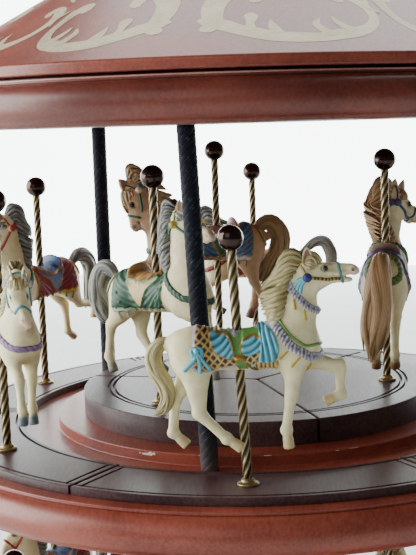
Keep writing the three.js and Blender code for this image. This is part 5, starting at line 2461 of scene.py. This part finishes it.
@dataclass
class Hair:
    """The mane, the forelock and the tail of one horse."""

    figure: Figure
    breed: Breed
    seed: int

    strands = (
        (1.2, ((1.2, -4.4), (1.24, -0.3), (1.18, 2.9), (1.03, 4.4), (0.87, 5.8))),
        (2.6, ((1.14, -4.4), (1.15, 0.0), (1.03, 3.1), (0.87, 4.9), (0.71, 6.8))),
        (3.4, ((1.05, -4.1), (1.04, 0.1), (0.89, 2.9), (0.76, 5.5), (0.62, 9.0))),
        (3.8, ((0.97, -3.7), (0.9, -0.1), (0.78, 2.6), (0.68, 6.0), (0.55, 9.4))),
        (4.1, ((0.88, -2.9), (0.79, 0.0), (0.7, 2.7), (0.63, 5.0))),
        (4.3, ((0.78, -2.6), (0.69, -0.2), (0.62, 1.9), (0.56, 4.0))),
        (4.6, ((0.71, -2.6), (0.61, 0.6), (0.53, 3.4), (0.46, 6.9), (0.4, 9.4))),
        (4.8, ((0.62, -2.8), (0.52, 0.3), (0.43, 4.0), (0.34, 8.4))),
        (5.0, ((0.53, -3.0), (0.43, 0.1), (0.34, 3.9), (0.26, 7.9))),
        (5.2, ((0.44, -3.4), (0.34, -0.5), (0.26, 3.1), (0.19, 7.1))),
        (5.4, ((0.35, -3.5), (0.26, -0.9), (0.19, 2.3), (0.13, 5.9))),
        (5.4, ((0.26, -3.4), (0.18, -0.8), (0.12, 1.6), (0.06, 4.3))),
        (5.2, ((0.17, -2.6), (0.11, -0.2), (0.07, 1.9), (0.03, 3.2))),
    )
    brow = (
        (0.0, ((0.4, 5.6), (4.0, 8.4), (7.4, 7.4), (9.4, 5.0), (10.2, 3.8))),
        (1.7, ((0.8, 5.4), (3.8, 7.6), (6.8, 6.4), (8.4, 4.2), (9.0, 2.8))),
        (3.1, ((1.4, 4.2), (4.2, 5.4), (6.4, 3.8), (7.6, 1.8))),
        (4.2, ((2.0, 2.2), (4.0, 2.6), (5.8, 1.4))),
    )

    def __post_init__(self) -> None:
        """Start the fixed random numbers and the colours."""
        coat = self.breed.coat
        self.chance = np.random.default_rng(self.seed)
        self.dark, self.mid, self.light = (paint(c) for c in (coat.mane_dark, coat.mane, coat.mane_light))

    def tones(self, count: int, bias: float = 0.0) -> Array:
        """Give the paints along a lock: painted shade at its root and painted highlight towards its tip; a
        bias below zero darkens it and one above zero lightens it.
        """
        t = np.linspace(0, 1, count)
        pick = self.chance.uniform(-0.22, 0.22) + bias
        base = blend_paint(self.dark, self.mid, 0.5 + 1.0 * t + pick)
        return blend_paint(base, self.light, np.clip(0.5 * t + pick, 0, 0.6))

    def bundle(self, keys: Sequence[Array], half: float, thick: float, out: Array,
               wave: float = 0.5) -> list[Surface]:
        """Lay one clump of hair: a broad lock under finer ones that wave along it.

        Args:
            keys: Points along its middle line.
            half: Half width at its broadest.
            thick: Half thickness at its broadest.
            out: The direction that it faces.
            wave: How far it swings aside.

        Returns:
            Its closed locks.
        """
        count = 15
        line = curve(keys, count)
        s = np.linspace(0, 1, count)
        across = unit(np.cross(np.gradient(line, axis=0), out))
        shift = self.chance.uniform(0, 2 * np.pi)
        line = line + across * (wave * s * np.sin(2 * np.pi * 1.3 * s + shift))[:, None]
        taper = (0.62 + 0.45 * np.sin(np.pi * np.minimum(s * 1.1, 1))) * (1 - s**5) + 0.06
        # The broad lock underneath is darker, as painted shade.
        tones = self.tones(count, -0.4)
        made = [lock(line, half * taper, thick * taper, across, tones, self.chance.uniform(0, 4))]
        for off in (-0.5, 0.5):
            weave = off + 0.16 * np.sin(2 * np.pi * (1.1 * s + self.chance.uniform(0, 1)))
            rise = unit(out) * (thick * taper * 0.55)[:, None]
            path = line + across * (weave * half * taper)[:, None] + rise
            width = half * 0.5 * taper + 0.05
            # The finer locks on top are lighter, as painted highlight.
            tones = self.tones(count, 0.14)
            made.append(lock(path, width, width * 0.8, across, tones, self.chance.uniform(0, 4)))
        return made

    def mane(self) -> list[Surface]:
        """Lay the mane's clumps down both sides of the crest, over ones in the middle that are darkened as
        painted shade.
        """
        figure = self.figure
        made = []
        for number, (width, keys) in enumerate(self.strands):
            thin = number in (4, 5)
            spots = [(t, out * (self.breed.blown if out > 0 else 1)) for t, out in keys]
            shares = np.interp(np.linspace(0, 1, len(spots)), [0, 0.3, 0.7, 1], [1.0, 1.02, 0.7, 0.42])
            for side in (-1, 1):
                root, normal = figure.project(figure.crest(*spots[0], side * width)[None], 4)
                line = [root[0] - normal[0] * 0.6]
                for (t, out), share in zip(spots[1:], shares[1:]):
                    line.append(figure.crest(t, out, side * (width * share + 0.5)))
                made += self.bundle(line, 1.6 if thin else 2.05, 1.25, np.array([0.0, float(side), 0.0]))
            if thin:
                continue
            count = 13
            line = curve([figure.crest(t, max(out, -2.0) * 0.94) for t, out in spots], count)
            widths = 2.3 * (1 - np.linspace(0, 1, count) ** 4) + 0.1
            # The middle lock is darker: painted shade.
            made.append(lock(line, widths, widths * 0.9, figure.rise, self.tones(count, -0.3)))
        return made

    def forelock(self) -> list[Surface]:
        """Lay locks that rise from the poll and fall over the forehead."""
        made = []
        low = 1.0 if self.figure.gait.head > -15 else 0.7
        for width, keys in self.brow:
            for side in ((-1, 1) if width else (1,)):
                line = []
                for k, (s, n) in enumerate(keys):
                    reach = s + max(0.0, s - 5.0) * (self.breed.fall - 1) * 1.6
                    line.append(self.figure.face(reach, n * low, side * width * (0.9 + 0.12 * k)))
                out = self.figure.over * 0.6 + np.array([0.0, side * width * 0.4, 0.0])
                made += self.bundle(line, 1.7, 1.0, out, 0.12)
        return made

    def tail_locks(self) -> list[Surface]:
        """Twine the tail from clumps that follow one curve and part at the tip."""
        count = 27
        spine = curve(self.breed.tail.value, count)
        t = np.linspace(0, 1, count)
        centre = np.column_stack([spine[:, 0], self.breed.sway * t**1.2, spine[:, 1]])
        radius = spine[:, 2]
        ahead = unit(np.gradient(centre, axis=0))
        side = np.array([0.0, 1.0, 0.0])
        over = np.cross(side, ahead)
        core = radius * 0.7 * (1 - t**6) + 0.1
        # The core is darker, as painted shade.
        made = [lock(centre, core, core * 0.8, side, self.tones(count, -0.2), 0.0, 12)]
        for ring, (number, place, share) in enumerate(((11, 0.58, 0.4), (10, 0.78, 0.26))):
            for k in range(number):
                angle = 2 * np.pi * (k + 0.5 * ring) / number + self.chance.uniform(-0.15, 0.15)
                turn = angle + 0.8 * t + 0.3 * np.sin(2 * np.pi * (t * 1.6 + self.chance.uniform(0, 1)))
                off = radius * (place + 0.06 * self.chance.uniform(-1, 1)) * (0.7 + 0.45 * t)
                path = centre + side * (np.cos(turn) * off * 0.9)[:, None]
                path = path + over * (np.sin(turn) * off)[:, None]
                end = int(self.chance.integers(22, count + 1))
                s = np.linspace(0, 1, end)
                widths = radius[:end] * share * (1 - s**5) + 0.12
                out = unit(path[:end] - centre[:end])
                across = unit(np.cross(out, ahead[:end]))
                # The outer ring of locks is a little lighter, as painted highlight.
                tones = self.tones(end, 0.1 * ring)
                made.append(lock(path[:end], widths, widths * 0.66, across, tones, self.chance.uniform(0, 4)))
        return made

    def build(self) -> Surface:
        """Put all the hair together."""
        return joined([*self.mane(), *self.forelock(), *self.tail_locks()])


# In each hair colour, mane_dark is the painted shade and mane_light the painted highlight.
GREY = {"mane": "757a78", "mane_dark": "23282b", "mane_light": "cfd3ce"}
TAWNY = {"mane": "b9976c", "mane_dark": "835f3e", "mane_light": "dcbf92"}
BROWN = {"mane": "bf9266", "mane_dark": "8d6a48", "mane_light": "e2c096"}
SANDY = {"mane": "c89a68", "mane_dark": "80592f", "mane_light": "e6c393"}
BREEDS = {
    "outer_1": Breed(Coat(), Tail.FLOWING),
    "outer_2": Breed(Coat(**BROWN), Tail.CURLED),
    "outer_3": Breed(Coat(**GREY), Tail.CURLED),
    "outer_4": Breed(Coat(hoof="3f5a48", **GREY), Tail.HOOKED),
    "outer_5": Breed(Coat(**GREY), Tail.ARCHED),
    "outer_6": Breed(Coat(hoof="5f6f78"), Tail.ARCHED),
    "inner_1": Breed(Coat(hoof="8a5f3c", **SANDY), Tail.HANGING, 1.1, 1.0, 7.0),
    "inner_2": Breed(Coat(body="c9a480", shade="7a5a40", hoof="7c5a3c", **TAWNY), Tail.LOOPED, 0.7, 1.8),
    "inner_3": Breed(Coat(hoof="8a8a80", **GREY), Tail.CURLED),
}


@dataclass
class Horses:
    """Every horse on both decks, each sculpted once and repeated below."""

    plan: Plan
    finishes: Finishes

    def seat(self, stand: Stand, storey: Storey) -> Matrix:
        """Give the matrix from a trunk's frame to the toy's, in millimetres."""
        gait = GAITS[stand.pose]
        lift = Matrix.Translation((0, 0, gait.lift))
        turn = Matrix.Rotation(math.radians(-gait.pitch), 4, "Y") @ Matrix.Translation((gait.shift, 0, 0))
        lean = Matrix.Rotation(stand.lean, 4, "Y")
        return stand.foot(self.plan, storey) @ lean @ lift @ turn @ Matrix.Scale(gait.size, 4)

    def build(self) -> None:
        """Sculpt, dress and place the horses."""
        for stand in STANDS:
            gait, breed = GAITS[stand.pose], BREEDS[stand.label]
            figure = Figure(gait)
            livery = Livery(figure, LOOKS[stand.label])
            dress = dress_stride if stand.pose is Pose.STRIDE else dress_plain
            dress(livery)
            livery.bridle()
            body = joined([figure.body(breed.coat), figure.eyes(), figure.ears(breed.coat), *livery.parts])
            body = figure.glance(body)
            hair = figure.glance(Hair(figure, breed, 7 + stand.number).build())
            for storey in Storey:
                matrix = self.seat(stand, storey)
                place = f"{storey.value}_{stand.row.value}_horse"
                label = f"{place}_{stand.number}"
                node = label if storey is Storey.UPPER else f"{place}_on_pole_{stand.number}"
                piece = write_mesh(label + "_body", body.moved(matrix))
                settle(piece, self.finishes.resin, [node])
                piece = write_mesh(label + "_hair", hair.moved(matrix))
                settle(piece, self.finishes.hair)
            LOG.info("horse %s sculpted: %d points", stand.label, len(body.points))


# Studio


@dataclass(frozen=True)
class Studio:
    """A pale floor, a glowing cloth behind, soft light from behind and a softer fill, and the camera."""

    finishes: Finishes
    focal: float = 1177.05
    frame_width: int = 416
    frame_height: int = 555
    centre_x: float = 240.0
    centre_y: float = 277.5
    distance: float = 738.4
    height: float = 411.0
    yaw: float = -0.0125
    pitch: float = 0.1289
    roll: float = -0.0289

    def floor(self) -> bpy.types.Object:
        """Lay the paper floor."""
        corners = np.array([[-3.0, -2.4, 0], [3.0, -2.4, 0], [3.0, 3.0, 0], [-3.0, 3.0, 0]]) / MM
        piece = write_mesh("paper_floor", Surface(corners, [np.array([[0, 1, 2, 3]])]))
        piece.data.materials.append(self.finishes.paper)
        return piece

    def window(self) -> bpy.types.Object:
        """Hang the bright cloth behind the toy, with an opening that the raised centre mirrors."""
        across, up = (-3.4, -0.22, 0.34, 3.4), (-0.2, 0.68, 1.02, 1.13)
        corners = np.array([[x, 2.6, z] for z in up for x in across]) / MM
        opening = 4
        faces = np.delete(grid_faces(len(up), len(across), False, False), opening, axis=0)
        piece = write_mesh("window_cloth", Surface(corners, [faces]))
        piece.data.materials.append(self.finishes.window)
        return piece

    def lamp(self, name: str, power: float, size: float, place: Triple, aim: Triple,
             colour: Triple) -> bpy.types.Object:
        """Add a soft square lamp.

        Args:
            name: Its name.
            power: Watts.
            size: Side in metres.
            place: Where it hangs, in metres.
            aim: What it faces, in metres.
            colour: Its colour.

        Returns:
            The lamp.
        """
        light = bpy.data.lights.new(name, "AREA")
        light.energy = power
        light.size = size
        light.color = colour
        made = linked(name, light)
        made.location = place
        made.rotation_euler = (Vector(aim) - Vector(place)).to_track_quat("-Z", "Y").to_euler()
        return made

    def world(self) -> None:
        """Fill the room with near-white light."""
        world = bpy.data.worlds.new("Room")
        world.use_nodes = True
        world.node_tree.nodes.clear()
        room = Tree(world.node_tree)
        glow = room.value("ShaderNodeBackground", {"Color": (0.92, 0.97, 0.96, 1), "Strength": 0.14})
        room.node("ShaderNodeOutputWorld", {"Surface": glow})
        bpy.context.scene.world = world

    def camera(self) -> bpy.types.Object:
        """Stand the camera where the photograph was taken."""
        level = math.cos(self.pitch)
        ahead = Vector((math.sin(self.yaw) * level, math.cos(self.yaw) * level, -math.sin(self.pitch)))
        side = Vector((math.cos(self.yaw), -math.sin(self.yaw), 0))
        over = side.cross(ahead)
        right = side * math.cos(self.roll) + over * math.sin(self.roll)
        up = over * math.cos(self.roll) - side * math.sin(self.roll)
        turn = Matrix((right, up, -ahead)).transposed().to_4x4()
        lens = bpy.data.cameras.new("Camera")
        lens.sensor_fit = "VERTICAL"
        lens.sensor_height = 36.0
        lens.lens = lens.sensor_height * self.focal / self.frame_height
        longest = max(self.frame_width, self.frame_height)
        lens.shift_x = (self.frame_width / 2 - self.centre_x) / longest
        lens.shift_y = (self.centre_y - self.frame_height / 2) / longest
        lens.clip_end = 50
        made = linked("Camera", lens)
        made.matrix_world = Matrix.Translation((0, -self.distance * MM, self.height * MM)) @ turn
        bpy.context.scene.camera = made
        return made

    def build(self) -> None:
        """Set up the whole studio."""
        self.world()
        middle = (0.0, 0.0, 0.3)
        lamps = [
            self.lamp("left_window", 106, 1.8, (-2.0, 0.0, 0.8), middle, (1.0, 1.0, 0.97)),
            self.lamp("back_sky", 58, 2.0, (0.2, 1.4, 2.3), middle, (0.98, 1.0, 1.0)),
            self.lamp("front_fill", 8, 1.4, (-0.9, -1.9, 1.3), middle, (1.0, 0.97, 0.92)),
        ]
        self.floor()
        self.window()
        self.camera()
        LOG.info("studio lit")


def main() -> None:
    """Load the frame, build every piece over it and light it."""
    logging.basicConfig(level=logging.INFO, format="%(message)s")
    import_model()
    finishes = Finishes()
    boards = Boards(PLAN, finishes)
    boards.decks()
    boards.canopy()
    boards.finial()
    boards.chips()
    Scrolls(PLAN, finishes).build()
    panels = Panels(PLAN, finishes)
    panels.rings()
    panels.plinths()
    rod = TwistedRod()
    Posts(PLAN, finishes, rod).build()
    Poles(PLAN, finishes, rod).build()
    Horses(PLAN, finishes).build()
    Studio(finishes).build()


if __name__ == "__main__":
    main()
